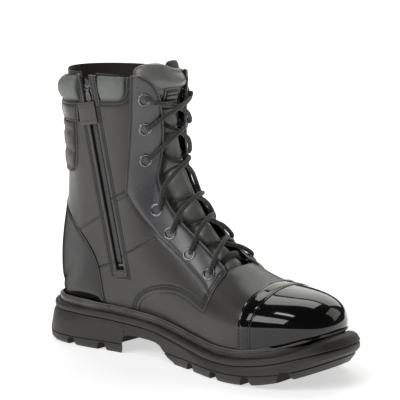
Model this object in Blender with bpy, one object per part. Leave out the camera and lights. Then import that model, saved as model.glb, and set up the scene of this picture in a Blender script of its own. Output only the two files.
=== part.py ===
"""One side-zip leather fire station boot, left foot.

+X points to the toe, +Z up, and the medial (inner) side, which carries the zip, faces -Y.
The upper is a stack of thin layers on one base surface. All working numbers are millimetres.
"""
import math

import bmesh
import bpy
import numpy as np
from mathutils import Vector
from mathutils.bvhtree import BVHTree

MM = 0.001
GAP = 0.3

# Layer heights, measured from the outer leather surface along its normal
LEATHER = (-1.8, 0.0)
RAISED = 1.3
OVERLAY = 0.4
STIFFENER = (-4.2, -2.3)
LINING = (-6.0, -4.7)
PAD_LOW = -2.6

# Outer edge of the sole in plan, from the heel round the medial side to the toe and back
SOLE_OUTLINE = [(-152, 0), (-147, -21), (-130, -36), (-100, -40), (-62, -37), (-20, -35), (20, -44),
                (55, -54.5), (88, -57), (118, -49.5), (140, -32), (152, -6), (146, 21), (126, 41),
                (97, 53), (62, 57.2), (25, 56), (-15, 50), (-60, 44), (-100, 43), (-130, 37), (-147, 21)]
LOOP_HALF = 30

# Each station is one plane section of the upper. T is its top or front point, Q its bottom or back
# point, W_MED and W_LAT the half widths, LOW where along Q-T the widest place is, and E the roundness.
STATIONS = [
    # s,  T x, T z,  Q x, Q z, W_MED, W_LAT, LOW, E
    (0, 138, 40, 138, 39, 0, 0, .20, 1.0),
    (1, 141, 47, 136, 36, 14, 10, .26, 1.0),
    (2, 140, 55, 129, 35, 27, 19, .32, .98),
    (3, 134, 63, 119, 33, 37, 28, .36, .94),
    (4, 121, 69, 107, 31, 43, 36, .38, .92),
    (5, 104, 72, 92, 30, 47, 42, .38, .92),
    (6, 84, 74, 74, 29, 48, 46, .36, .94),
    (7, 62, 79, 51, 29, 45, 48, .32, .97),
    (8, 39, 90, 24, 30, 39, 45, .30, 1.0),
    (9, 19, 107, -10, 33, 36, 41, .30, 1.0),
    (10, 4, 125, -50, 37, 35, 38, .34, 1.0),
    (11, -6, 140, -88, 39, 36, 37, .40, 1.0),
    (12, -13, 153, -122, 41, 37, 37, .45, 1.0),
    (13, -18, 164, -143, 42, 37, 37, .50, 1.0),
    (14, -21, 174, -146, 66, 38, 38, .52, 1.0),
    (15, -23, 185, -143, 92, 39, 39, .53, 1.0),
    (16, -24, 196, -137, 118, 41, 40, .53, 1.0),
    (17, -25, 207, -134, 147, 43, 42, .53, 1.0),
    (18, -25, 218, -134, 176, 45, 44, .53, 1.0),
    (19, -25, 228, -136, 207, 46, 45, .53, 1.0),
    (20, -25, 238, -139, 238, 47, 46, .53, 1.0),
    (21, -26, 250, -141, 250, 48, 47, .53, 1.0),
]
HEEL_STATION = 13
RIM_STATION = 20

# The zip runs straight down a flat strip of the medial side
ZIP_TOP_Z = 235.0
ZIP_END_Z = 75.0
ZIP_X_AT_TOP = -85.8
ZIP_X_SLOPE = -0.165
ZIP_Y_AT_END = -34.7
ZIP_Y_SLOPE = -0.0708
ZIP_FLAT = 15.0
ZIP_BLEND = 42.0
ZIP_SLOT = 4.6


# ------------------------------------------------------------------ curves

def hermite(xs, ys, x):
    """Smooth curve through points, with finite-difference slopes."""
    xs, ys, x = (np.asarray(v, float) for v in (xs, ys, x))
    step = np.diff(xs)
    wide = step[:, None] if ys.ndim == 2 else step
    slope = np.diff(ys, axis=0) / wide
    tangent = np.vstack([slope[:1], slope]) if ys.ndim == 2 else np.concatenate([slope[:1], slope])
    tangent[1:-1] = (slope[:-1] * wide[1:] + slope[1:] * wide[:-1]) / (wide[1:] + wide[:-1])
    i = np.clip(np.searchsorted(xs, x, side="right") - 1, 0, len(xs) - 2)
    t, h = (x - xs[i]) / step[i], step[i]
    if ys.ndim == 2:
        t, h = np.asarray(t)[..., None], np.asarray(h)[..., None]
    return ((2 * t**3 - 3 * t**2 + 1) * ys[i] + (t**3 - 2 * t**2 + t) * h * tangent[i]
            + (3 * t**2 - 2 * t**3) * ys[i + 1] + (t**3 - t**2) * h * tangent[i + 1])


def resample(points, count):
    """The same open polyline with evenly spaced points."""
    length = np.concatenate([[0], np.cumsum(np.linalg.norm(np.diff(points, axis=0), axis=1))])
    at = np.linspace(0, length[-1], count)
    return np.stack([np.interp(at, length, points[:, k]) for k in range(points.shape[1])], 1)


def smooth_step(low, high, value):
    t = np.clip((value - low) / (high - low), 0, 1)
    return t * t * (3 - 2 * t)


def sole_loop(count_half=LOOP_HALF):
    """Closed outline of the sole: heel tip, medial side, toe tip, lateral side."""
    raw = np.array(SOLE_OUTLINE, float)
    ring = np.vstack([raw[-3:], raw, raw[:4]])
    at = np.concatenate([[0], np.cumsum(np.sqrt(np.linalg.norm(np.diff(ring, axis=0), axis=1)))])
    dense = hermite(at, ring, np.linspace(at[3], at[3 + len(raw)], 1200))
    toe = int(np.argmax(dense[:, 0]))
    medial = resample(dense[:toe + 1], count_half + 1)
    lateral = resample(dense[toe:], count_half + 1)
    return np.vstack([medial[:-1], lateral[:-1]])


def inset(loop, distance):
    """A closed outline moved inwards, in four small steps."""
    loop = loop.copy()
    for _ in range(4):
        run = np.roll(loop, -1, 0) - np.roll(loop, 1, 0)
        run /= np.linalg.norm(run, axis=1)[:, None]
        inward = np.stack([-run[:, 1], run[:, 0]], 1)
        loop += inward * (np.asarray(distance) / 4).reshape(-1, 1)
    return loop


def feather_inset(x):
    """How far the upper stands in from the edge of the sole."""
    return np.interp(x, [-152, -120, -40, 60, 120, 152], [8, 8, 8, 9, 12, 14])


def welt_z(x):
    """Top of the sole unit, where the upper meets it."""
    return hermite([-155, -110, -65, -30, 5, 40, 75, 110, 145, 160],
                   [39.5, 39, 37.5, 34.5, 29.5, 25.5, 25.5, 31, 41.5, 46], x)


def ground_z(x):
    """Underside of the lugs: a bevel at the back of the heel and toe spring in front."""
    return np.maximum(hermite([-155, -140, -120, 70, 95, 125, 155], [3, .5, 0, 0, 2, 9, 20], x), 0)


SOLE = sole_loop()
DENSE = sole_loop(300)
FEATHER = inset(DENSE, feather_inset(DENSE[:, 0]))


def feather_y(x, side):
    """Half width of the upper where it meets the sole."""
    tip = int(np.argmax(FEATHER[:, 0]))
    heel = int(np.argmin(FEATHER[:, 0]))
    half = FEATHER[heel:tip + 1] if side < 0 else np.vstack([FEATHER[tip:], FEATHER[:heel + 1]])[::-1]
    return abs(float(np.interp(x, half[:, 0], half[:, 1])))


# ------------------------------------------------------------------ base surface of the upper

def zip_x(z):
    return ZIP_X_AT_TOP + ZIP_X_SLOPE * (z - ZIP_TOP_Z)


def zip_y(z):
    return ZIP_Y_AT_END + ZIP_Y_SLOPE * (z - ZIP_END_Z)


def flatten_for_zip(points):
    """Lays the medial side flat for a hand's width round the zip."""
    away = np.abs(points[:, 0] - zip_x(points[:, 2]))
    weight = 1 - smooth_step(ZIP_FLAT, ZIP_BLEND, away)
    weight = weight * smooth_step(38, 66, points[:, 2])
    points[:, 1] += weight * (zip_y(points[:, 2]) - points[:, 1])
    return points


def section(s, side, count):
    """One side of a section, from its top or front point to the feather or the back line."""
    row = np.array(STATIONS, float)
    tx, tz, qx, qz, w_med, w_lat, low, e = hermite(row[:, 0], row[:, 1:], s)
    width = max(w_med if side < 0 else w_lat, 0)
    end = 0.0
    if s <= HEEL_STATION:
        end = feather_y(qx, side)
        qz = float(welt_z(qx))
    width = max(width, end * 1.002 + 1e-6)
    middle = float(np.interp(s, [0, 3, 8, 13], [FEATHER[np.argmax(FEATHER[:, 0]), 1], -2, -1, 0]))
    top, bottom = np.array([tx, tz]), np.array([qx, qz])
    upper = np.linspace(0, math.pi / 2, 60)
    lower = np.linspace(0, math.acos(min(end / width, .9999)), 60)[1:]
    across = np.concatenate([middle + side * (width - side * middle) * np.sin(upper)**e,
                             side * width * np.cos(lower)])
    along = np.concatenate([low + (1 - low) * np.cos(upper)**e,
                            low * (1 - np.sin(lower) / np.sin(lower[-1]))])
    plan = bottom + (top - bottom) * along[:, None]
    points = np.stack([plan[:, 0], across, plan[:, 1]], 1)
    if side < 0:
        points = flatten_for_zip(points)
    return resample(points, count)


def side_length(s, side):
    line = section(s, side, 90)
    return float(np.linalg.norm(np.diff(line, axis=0), axis=1).sum())


def on_surface(s, a):
    """Point at arc distance a from the front centre line, lateral side positive."""
    line = section(s, -1 if a < 0 else 1, 181)
    length = np.concatenate([[0], np.cumsum(np.linalg.norm(np.diff(line, axis=0), axis=1))])
    return np.array([np.interp(abs(a), length, line[:, k]) for k in range(3)])


def surface_frame(s, a):
    """Point and outward normal at station s, arc distance a."""
    here = on_surface(s, a)
    ds, da = .15, 1.5
    along = on_surface(min(s + ds, 21), a) - on_surface(s - ds, a)
    across = on_surface(s, a + da) - on_surface(s, a - da)
    normal = np.cross(along, across)
    return here, -normal / np.linalg.norm(normal)


def lifted(s, a, height):
    here, normal = surface_frame(s, a)
    return here + normal * height


ROWS = np.concatenate([np.linspace(0, HEEL_STATION, 18), np.linspace(HEEL_STATION, RIM_STATION, 11)[1:]])
COLUMNS = 8


def base_mesh():
    """Vertices with their own (s, arc) address, and triangles facing out."""
    points, address, index = [], [], {}
    for r, s in enumerate(ROWS):
        sides = {side: section(s, side, COLUMNS + 1) for side in (-1, 1)}
        for j in range(-COLUMNS, COLUMNS + 1):
            if r == 0 and j > -COLUMNS:
                index[r, j] = index[0, -COLUMNS]
                continue
            if s >= HEEL_STATION and j == COLUMNS:
                index[r, j] = index[r, -COLUMNS]
                continue
            side = -1 if j < 0 else 1
            line = sides[side]
            index[r, j] = len(points)
            points.append(line[abs(j)])
            step = np.linalg.norm(np.diff(line, axis=0), axis=1).sum() / COLUMNS
            address.append((s, j * step))
    faces = []
    for r in range(len(ROWS) - 1):
        for j in range(-COLUMNS, COLUMNS):
            a, b, c, d = index[r, j], index[r, j + 1], index[r + 1, j + 1], index[r + 1, j]
            for tri in ((a, b, c), (a, c, d)) if j < 0 else ((a, b, d), (b, c, d)):
                if len(set(tri)) == 3:
                    faces.append(tri)
    points = np.array(points)
    normals = np.zeros_like(points)
    for tri in faces:
        p = points[list(tri)]
        normals[list(tri)] += np.cross(p[1] - p[0], p[2] - p[0])
    normals /= np.linalg.norm(normals, axis=1)[:, None]
    return points, normals, np.array(address), faces


BASE_P, BASE_N, BASE_SA, BASE_F = base_mesh()
FACETS = BVHTree.FromPolygons([tuple(p) for p in BASE_P], BASE_F)


# ------------------------------------------------------------------ seam lines, as signed fields

def signed(line, x, z):
    """Distance from an open line in side view, positive on its left."""
    pts = np.array(line, float)
    first, last = pts[0] - pts[1], pts[-1] - pts[-2]
    pts[0] = pts[0] + first / np.linalg.norm(first) * 200
    pts[-1] = pts[-1] + last / np.linalg.norm(last) * 200
    best = np.full(len(x), 1e9)
    sign = np.ones(len(x))
    for a, b in zip(pts[:-1], pts[1:]):
        d = b - a
        t = np.clip(((x - a[0]) * d[0] + (z - a[1]) * d[1]) / (d @ d), 0, 1)
        dist = np.hypot(x - a[0] - t * d[0], z - a[1] - t * d[1])
        left = d[0] * (z - a[1]) - d[1] * (x - a[0])
        closer = dist < best - 1e-9
        sign = np.where(closer, np.where(left >= 0, 1.0, -1.0), sign)
        best = np.minimum(dist, best)
    return best * sign


VAMP_SEAM = [(-46, 30), (-43, 39), (-34, 51), (-20, 58.5), (-2, 61.3), (14, 58.2), (28, 52.5), (34, 50.5),
             (38, 60), (45, 80), (51, 85)]
COUNTER_EDGE = [(-137, 131), (-125, 121), (-102, 102), (-89, 88), (-83, 75), (-79, 58), (-77, 35)]
ANKLE_SEAM = [(-101, 102), (-75, 117), (-66, 127), (-50, 135), (-35, 144)]
LOWER_SEAM = [(-95, 65), (-79, 69), (-66, 72), (-52, 75), (-22, 103)]
# Half width of the lacing gap, and the rear edge of the facings, as shares of the side's length
THROAT = [(7, .20), (7.7, .20), (8.2, .18), (10.4, .18), (11.6, .16), (12.6, .14), (14, .10),
          (17.5, .10), (18.4, .11), (19.4, .13), (20, .17), (21, .17)]
FACING_REAR = [(7, .56), (7.9, .54), (8.3, .46), (9.3, .40), (10.5, .37), (11.6, .32), (12.7, .285),
               (15.2, .265), (17.5, .27), (19.9, .26), (21, .26)]
THROAT_START = 7.5
CAP_SEAM_X = 88.0
STRIP_SEAM_X = 75.8
COLLAR_SEAM_Z = 217.5
BAND_LOW_Z = 197.0
BAND_FRONT_X = -96.5
REAR_PAD_X = -93.0
ACHILLES_Z = (152.0, 194.6)
ACHILLES_X = -98.0
ACHILLES_ROLLS = 3
SLIT_HALF = 7.5
PER_STATION = 22.0  # about how many millimetres one station spans


def share(table, s):
    return np.interp(s, [row[0] for row in table], [row[1] for row in table])


def throat_half(s):
    return float(share(THROAT, s)) * side_length(s, 1)


def base_fields():
    """Every seam field at the base vertices; a panel keeps the places where its fields are positive."""
    x, y, z = BASE_P.T
    s, a = BASE_SA.T
    lengths = np.array([side_length(v, 1) for v in s])
    return {
        "medial": -y,
        "cap": x - (CAP_SEAM_X + 5 * smooth_step(45, 72, z)),
        "strip": x - (STRIP_SEAM_X + 3 * smooth_step(60, 75, z)),
        "vamp": -signed(VAMP_SEAM, x, z),
        "counter": -signed(COUNTER_EDGE, x, z),
        "shaft": signed(ANKLE_SEAM, x, z),
        "upper_quarter": signed(LOWER_SEAM, x, z),
        "throat": share(THROAT, s) * lengths - np.abs(a),
        "above_throat_end": (s - THROAT_START) * PER_STATION,
        "behind_facing": np.abs(a) - share(FACING_REAR, s) * lengths,
        "collar": z - (COLLAR_SEAM_Z + .05 * (x + 90)),
        "band": z - BAND_LOW_Z,
        "zip_front": (x - zip_x(z)) - ZIP_SLOT,
        "zip_rear": -(x - zip_x(z)) - ZIP_SLOT,
        "x": x, "y": y, "z": z,
    }


FIELD = base_fields()


def cut_along(weights, polys, level, keep_both=False):
    """Cuts polygons where level changes sign, and keeps the positive side, or both sides."""
    cut, rows, kept = {}, [weights], []
    total = len(weights)
    for poly in polys:
        halves = ([], [])
        for k, i in enumerate(poly):
            j = poly[(k + 1) % len(poly)]
            halves[0 if level[i] >= 0 else 1].append(i)
            if (level[i] >= 0) != (level[j] >= 0):
                key = (min(i, j), max(i, j))
                if key not in cut:
                    t = level[key[0]] / (level[key[0]] - level[key[1]])
                    rows.append((weights[key[0]] * (1 - t) + weights[key[1]] * t)[None])
                    cut[key] = total
                    total += 1
                halves[0].append(cut[key])
                halves[1].append(cut[key])
        kept += [half for half in halves[:2 if keep_both else 1] if len(half) > 2]
    return np.vstack(rows), kept


def panel(*rules, gap=.25):
    """Clips the base mesh; returns weights on the base vertices, and polygons.

    A rule is (field, sign), which keeps where sign * field is positive, or a list of fields, which
    keeps where any of them is positive."""
    weights = np.eye(len(BASE_P))
    polys = [list(f) for f in BASE_F]
    for rule in rules:
        if isinstance(rule, list):
            for field in rule:
                weights, polys = cut_along(weights, polys, weights @ field - gap, keep_both=True)
            best = np.array([weights @ field - gap for field in rule])
            polys = [poly for poly in polys if best[:, poly].mean(axis=1).max() > 1e-6]
        else:
            field, sign = rule
            values = FIELD[field] if isinstance(field, str) else field
            weights, polys = cut_along(weights, polys, weights @ (sign * values) - gap)
    return weights, polys


def merge_close(points, polys, distance=.04):
    """Welds points that a cut left almost on top of each other, and drops what is unused."""
    target = list(range(len(points)))
    grid = {}
    steps = [(i, j, k) for i in (-1, 0, 1) for j in (-1, 0, 1) for k in (-1, 0, 1)]
    used = sorted({i for poly in polys for i in poly})
    for i in used:
        key = np.round(points[i] / distance).astype(int)
        near = [grid[tuple(key + step)] for step in steps if tuple(key + step) in grid]
        near = [j for j in near if np.linalg.norm(points[j] - points[i]) < distance]
        if near:
            target[i] = near[0]
        else:
            grid[tuple(key)] = i
    result = []
    for poly in polys:
        new = list(dict.fromkeys(target[i] for i in poly))
        if len(new) > 2:
            result.append(new)
    left = sorted({i for poly in result for i in poly})
    renumber = {i: k for k, i in enumerate(left)}
    return left, [[renumber[i] for i in poly] for poly in result]


def shell(name, material, patch, low, high):
    """A thin solid between two heights over a clipped patch. Heights are numbers or functions."""
    weights, polys = patch
    left, polys = merge_close(weights @ BASE_P, polys)
    points, normals = weights[left] @ BASE_P, weights[left] @ BASE_N
    heights = [h(points) if callable(h) else np.full(len(points), float(h)) for h in (low, high)]
    verts = np.vstack([points + normals * heights[1][:, None], points + normals * heights[0][:, None]])
    n = len(points)
    faces = [list(p) for p in polys] + [[i + n for i in reversed(p)] for p in polys]
    edges = {(p[k], p[(k + 1) % len(p)]) for p in polys for k in range(len(p))}
    for i, j in sorted(edges):
        if (j, i) not in edges:
            faces += [[j, i, i + n], [j, i + n, j + n]]
    return make(name, material, verts, faces)


# ------------------------------------------------------------------ Blender objects

MATERIALS = {
    "leather": ((.095, .092, .088), .42, 0.0),
    "patent_leather": ((.02, .02, .02), .08, 0.0),
    "soft_leather": ((.19, .20, .18), .55, 0.0),
    "lining_fabric": ((.03, .025, .023), .95, 0.0),
    "rubber": ((.05, .05, .049), .6, 0.0),
    "midsole_rubber": ((.035, .035, .035), .5, 0.0),
    "fibreboard": ((.35, .25, .16), .9, 0.0),
    "foam": ((.08, .08, .09), .95, 0.0),
    "stiffener": ((.5, .48, .42), .7, 0.0),
    "steel": ((.55, .55, .57), .35, 1.0),
    "zip_tape": ((.02, .02, .02), .9, 0.0),
    "zip_coil": ((.03, .03, .03), .4, 0.0),
    "zip_metal": ((.25, .25, .26), .3, 1.0),
    "eyelet": ((.03, .03, .032), .25, 1.0),
    "lace": ((.06, .057, .045), .85, 0.0),
    "aglet": ((.04, .04, .04), .3, 0.0),
}


def material(name):
    found = bpy.data.materials.get(name)
    if found:
        return found
    colour, roughness, metallic = MATERIALS[name]
    new = bpy.data.materials.new(name)
    new.use_nodes = True
    shader = new.node_tree.nodes["Principled BSDF"]
    shader.inputs["Base Color"].default_value = (*colour, 1)
    shader.inputs["Roughness"].default_value = roughness
    shader.inputs["Metallic"].default_value = metallic
    return new


def make(name, slot, verts, faces):
    mesh = bpy.data.meshes.new(name)
    mesh.from_pydata([tuple(v * MM) for v in np.asarray(verts, float)], [], faces)
    mesh.validate()
    turned = bmesh.new()
    turned.from_mesh(mesh)
    bmesh.ops.recalc_face_normals(turned, faces=turned.faces)
    turned.to_mesh(mesh)
    turned.free()
    new = bpy.data.objects.new(name, mesh)
    bpy.context.scene.collection.objects.link(new)
    if slot:
        mesh.materials.append(material(slot))
    return new


def boolean(target, cutter, operation="DIFFERENCE"):
    cutter.hide_render = True
    cutter.display_type = "WIRE"
    mod = target.modifiers.new(cutter.name, "BOOLEAN")
    mod.operation = operation
    mod.object = cutter


def stack(name, slot, loops):
    """A solid through closed loops, bottom to top. Its caps join each point to its opposite."""
    n = len(loops[0])
    verts = np.vstack(loops)
    faces = []
    for k in range(len(loops) - 1):
        for i in range(n):
            j = (i + 1) % n
            faces.append([k * n + i, k * n + j, (k + 1) * n + j, (k + 1) * n + i])
    for k, flip in ((0, True), (len(loops) - 1, False)):
        for i in range(n // 2):
            quad = [i, i + 1, (n - i - 1) % n, (n - i) % n]
            poly = [k * n + q for q in dict.fromkeys(quad)]
            faces.append(poly[::-1] if flip else poly)
    return make(name, slot, verts, faces)


def ring(name, slot, loops):
    """A closed band: the loops are the corners of its cross-section, in order."""
    n, m = len(loops[0]), len(loops)
    verts = np.vstack(loops)
    faces = []
    for k in range(m):
        for i in range(n):
            j, up = (i + 1) % n, (k + 1) % m
            faces.append([k * n + i, k * n + j, up * n + j, up * n + i])
    return make(name, slot, verts, faces)


def level(distance, height):
    """The sole's outline, inset by a distance, at a height that follows x."""
    loop = inset(SOLE, distance)
    z = height(loop[:, 0]) if callable(height) else np.full(len(loop), float(height))
    return np.column_stack([loop, z])


def placed(points, origin, u, v, n):
    """Local (u, v, n) points in the boot's frame."""
    return [origin + p[0] * u + p[1] * v + p[2] * n for p in np.asarray(points, float)]


def revolve(name, slot, profile, origin, axis, sides):
    """A closed ring turned round an axis; the profile is (radius, height) pairs."""
    axis = Vector(axis).normalized()
    side = axis.orthogonal().normalized()
    other = axis.cross(side)
    verts = []
    for k in range(sides):
        angle = 2 * math.pi * k / sides
        out = side * math.cos(angle) + other * math.sin(angle)
        verts += [np.array(Vector(origin) + out * r + axis * h) for r, h in profile]
    m = len(profile)
    faces = []
    for k in range(sides):
        for i in range(m):
            a, b = k * m + i, k * m + (i + 1) % m
            c, d = (k + 1) % sides * m + (i + 1) % m, (k + 1) % sides * m + i
            faces.append([a, d, c, b])
    return make(name, slot, verts, faces)


def prism(name, slot, outline, low, high, frame):
    """A flat plate: an outline in (u, v) between two heights of a local frame."""
    n = len(outline)
    pts = [(p[0], p[1], low) for p in outline] + [(p[0], p[1], high) for p in outline]
    faces = [list(range(n))[::-1], list(range(n, 2 * n))]
    faces += [[i, (i + 1) % n, n + (i + 1) % n, n + i] for i in range(n)]
    return make(name, slot, placed(pts, *frame), faces)


# ------------------------------------------------------------------ sole unit

WELT_THICK = 3.2
MIDSOLE_BOTTOM = 10.0
HEEL_BREAST_X = -53.0
HOLLOW_X, HOLLOW_RADIUS, HOLLOW_TOP = -33.0, 43.0, 17.5
GROOVES_FOREFOOT = [28, 60, 94, 125]
GROOVES_HEEL = [-107, -75]


def under_welt(depth):
    return lambda x: welt_z(x) - depth


def sole_unit():
    feather = lambda extra: feather_inset(SOLE[:, 0]) + extra
    welt = [level(2.2, under_welt(.5 + WELT_THICK)), level(1.2, under_welt(2.2)),
            level(2.0, under_welt(.9)), level(feather(-3.0), under_welt(.4)),
            level(feather(-1.7), under_welt(1.6)), level(feather(2.0), under_welt(1.6)),
            level(feather(2.0), under_welt(.5 + WELT_THICK))]
    ring("welt", "midsole_rubber", welt)
    top = .5 + WELT_THICK + GAP
    stack("midsole", "rubber", [level(.6, under_welt(MIDSOLE_BOTTOM)), level(0, under_welt(7)),
                                level(1.4, under_welt(top))])
    low = MIDSOLE_BOTTOM + GAP
    base = [level(3.0, ground_z), level(.8, lambda x: ground_z(x) + 6), level(.6, under_welt(low))]
    outsole = stack("outsole", "rubber", base)
    heel = stack("heel_block", "rubber", base)
    boolean(heel, box("cut_heel_front", (HEEL_BREAST_X, 200), (-80, 80), (-20, 80)))
    boolean(heel, heel_hollow())
    boolean(outsole, box("cut_outsole_heel", (-200, HEEL_BREAST_X + .4), (-80, 80), (-20, 80)))
    boolean(outsole, waist_cutter())
    for k, x in enumerate(GROOVES_FOREFOOT):
        boolean(outsole, groove("groove_forefoot_%d" % k, x))
    for k, x in enumerate(GROOVES_HEEL):
        boolean(heel, groove("groove_heel_%d" % k, x))


def box(name, xs, ys, zs):
    corners = [(x, y, z) for z in zs for y in ys for x in xs]
    faces = [(0, 2, 3, 1), (4, 5, 7, 6), (0, 1, 5, 4), (2, 6, 7, 3), (0, 4, 6, 2), (1, 3, 7, 5)]
    return make(name, None, corners, faces)


def heel_hollow():
    """A round post that hollows the heel's front below the arch, deepest in the middle."""
    sides = 48
    turns = [2 * math.pi * (k + .5) / sides for k in range(sides)]
    verts = [(HOLLOW_X + HOLLOW_RADIUS * math.cos(q), HOLLOW_RADIUS * math.sin(q), z)
             for z in (-20, HOLLOW_TOP) for q in turns]
    faces = [list(range(sides))[::-1], list(range(sides, 2 * sides))]
    faces += [[k, (k + 1) % sides, sides + (k + 1) % sides, sides + k] for k in range(sides)]
    return make("cut_heel_hollow", None, verts, faces)


def waist_cutter():
    """Removes the ground side of the arch, between the heel breast and the first lug."""
    profile = [(-60, -20), (-60, 17), (-38, 16.2), (-25, 15.6), (-17, 13.8), (-10, 8.2), (-3, 2.8), (1, -20)]
    verts = [(x, y, z) for y in (-90, 90) for x, z in profile]
    n = len(profile)
    faces = [list(range(n)), list(range(n, 2 * n))[::-1]]
    faces += [[(i + 1) % n, i, n + i, n + (i + 1) % n] for i in range(n)]
    return make("cut_waist", None, verts, faces)


def groove(name, x):
    """A lug channel across the sole: wide at the edges and slightly slanted."""
    bottom = float(ground_z(x))
    verts = []
    for y, half, shift in ((-80, 3.4, -6), (80, 3.4, 6)):
        for dx, z in ((-half, -8), (half, -8), (half * .7, 4.6), (-half * .7, 4.6)):
            verts.append((x + dx + shift, y, bottom + z))
    faces = [(0, 3, 2, 1), (4, 5, 6, 7), (0, 1, 5, 4), (1, 2, 6, 5), (2, 3, 7, 6), (3, 0, 4, 7)]
    return make(name, None, verts, faces)


def inside_pieces():
    """Shank, insole board and footbed, one above the other inside the upper."""
    shank = [(-95, -7), (-60, -9), (-10, -8), (25, -7), (25, 7), (-10, 8), (-60, 9), (-95, 7)]
    lofted_strip("shank", "steel", shank, .4, 1.8)
    edge = feather_inset(SOLE[:, 0])
    stack("insole_board", "fibreboard", [level(edge + 13.5, under_welt(-2.2)),
                                         level(edge + 13.5, under_welt(-4.2))])
    stack("footbed", "foam", [level(edge + 14, under_welt(-4.6)), level(edge + 13.5, under_welt(-8.5))])


def lofted_strip(name, slot, outline, low, high):
    half = len(outline) // 2
    pairs = [(outline[i], outline[-1 - i]) for i in range(half)]
    verts, faces = [], []
    for a, b in pairs:
        for p, h in ((a, low), (b, low), (b, high), (a, high)):
            verts.append((p[0], p[1], float(welt_z(p[0])) + h))
    for k in range(half - 1):
        for i in range(4):
            j = (i + 1) % 4
            faces.append([k * 4 + i, (k + 1) * 4 + i, (k + 1) * 4 + j, k * 4 + j])
    last = (half - 1) * 4
    faces += [[0, 1, 2, 3], [last + 3, last + 2, last + 1, last]]
    return make(name, slot, verts, faces)


# ------------------------------------------------------------------ leather panels

def pad_height(z_low, z_high, rise, edge=.6):
    """A padded crown between two levels."""
    def height(points):
        t = np.clip((points[:, 2] - z_low) / (z_high - z_low), 0, 1)
        return edge + rise * np.sqrt(np.clip(4 * t * (1 - t), 0, 1))
    return height


def rib_height(points):
    """The achilles pad's three rolls."""
    rolls = (points[:, 2] - ACHILLES_Z[0]) / (ACHILLES_Z[1] - ACHILLES_Z[0]) * ACHILLES_ROLLS
    roll = np.abs(np.sin(np.pi * rolls))
    return OVERLAY + .9 + 2.0 * roll


def upper_panels():
    low, flat = LEATHER
    shell("toe_cap", "patent_leather", panel(("cap", 1)), low, 1.0)
    shell("toe_cap_strip", "patent_leather", panel(("strip", 1), ("cap", -1)), low, 1.7)
    shell("vamp", "leather", panel(("vamp", 1), ("strip", -1)), low, flat)
    shell("counter_cover", "patent_leather", panel(("counter", 1)), low, RAISED)
    side_m, side_l = ("medial", 1), ("medial", -1)
    quarter = [("vamp", -1), ("counter", -1), ("shaft", -1), ("behind_facing", 1)]
    shell("quarter_lateral", "leather", panel(side_l, *quarter), low, flat)
    shell("quarter_medial_upper", "leather",
          panel(side_m, ("upper_quarter", 1), ("zip_front", 1), *quarter), low, flat)
    shell("quarter_medial_rear", "leather",
          panel(side_m, ("upper_quarter", 1), ("zip_rear", 1), ("shaft", -1), ("counter", -1)), low, flat)
    shell("quarter_medial_lower", "leather", panel(side_m, ("upper_quarter", -1), *quarter), low, flat)
    shaft = [("shaft", 1), ("counter", -1), ("collar", -1)]
    shell("shaft_lateral", "leather", panel(side_l, *shaft, ("behind_facing", 1)), low, flat)
    shell("shaft_medial_front", "leather",
          panel(side_m, *shaft, ("zip_front", 1), ("behind_facing", 1)), low, flat)
    shell("shaft_medial_rear", "leather", panel(side_m, *shaft, ("zip_rear", 1)), low, flat)
    facing = [("throat", -1), ("behind_facing", -1), ("vamp", -1)]
    for label, side in (("medial", side_m), ("lateral", side_l)):
        shell("facing_upper_" + label, "leather", panel(side, ("shaft", 1), *facing), low, RAISED)
        shell("facing_lower_" + label, "leather", panel(side, ("shaft", -1), *facing), low, RAISED)


def collar_and_trim():
    """Padded collar, the band under it, the ribbed achilles pad and the zip's end patch."""
    pad = pad_height(215, 243, 5.2)
    shell("collar_pad_rear", "soft_leather",
          panel(("collar", 1), (FIELD["x"] - REAR_PAD_X, -1)), PAD_LOW, pad)
    shell("collar_pad_lateral", "soft_leather",
          panel(("medial", -1), ("collar", 1), (FIELD["x"] - REAR_PAD_X, 1), ("behind_facing", 1)),
          PAD_LOW, pad)
    shell("collar_pad_front", "soft_leather",
          panel(("medial", 1), ("collar", 1), ("zip_front", 1), ("behind_facing", 1)), PAD_LOW,
          pad_height(215, 243, 2.5))
    shell("collar_band", "leather", panel(("band", 1), ("collar", -1), (FIELD["x"] - BAND_FRONT_X, -1)),
          OVERLAY, pad_height(196, 218, 2.4, 1.6))
    shell("achilles_pad", "soft_leather",
          panel((FIELD["z"] - ACHILLES_Z[0], 1), (FIELD["z"] - ACHILLES_Z[1], -1),
                (FIELD["x"] - ACHILLES_X, -1)),
          OVERLAY, rib_height)


def inner_layers():
    low, high = STIFFENER
    puff = FIELD["x"] - 66
    shell("toe_puff", "stiffener", panel((puff, 1)), low, high)
    heel = -signed([(-130, 112), (-110, 98), (-84, 68), (-76, 35)], FIELD["x"], FIELD["z"])
    shell("heel_stiffener", "stiffener", panel((heel, 1)), low, high)
    clear_of_throat = -FIELD["throat"] - 20
    below_throat = (THROAT_START - .5 - BASE_SA[:, 0]) * PER_STATION
    run = FIELD["x"] - zip_x(FIELD["z"])
    slit = [run - SLIT_HALF, -run - SLIT_HALF, 62 - FIELD["z"], FIELD["y"] + 5]
    shell("lining", "lining_fabric", panel([clear_of_throat, below_throat], slit), *LINING)


# ------------------------------------------------------------------ tongue

TONGUE_ROWS = np.concatenate([np.linspace(7.0, 19.5, 16), [20.0, 20.5, 20.9]])
TONGUE_SIDE = 15.0
TONGUE_LOW = -13.0


def tongue_half(s):
    spread = float(np.interp(s, [7, 8, 16.5, 17.3, 20.9], [.4, 1, 1, .5, .5]))
    return throat_half(min(s, 19.5)) + TONGUE_SIDE * spread


def tongue_height(s, a):
    """The padded crown that fills the lacing gap between the flat wings under the facings."""
    crown = max(0.0, 1 - (a / (throat_half(min(s, 19.5)) - 5))**2)
    rise = float(np.interp(s, [7, 7.9, 19.3, 20.4, 20.9], [0, 6.2, 6.2, 4.5, 1.5]))
    return -9.5 + rise * crown


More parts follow.
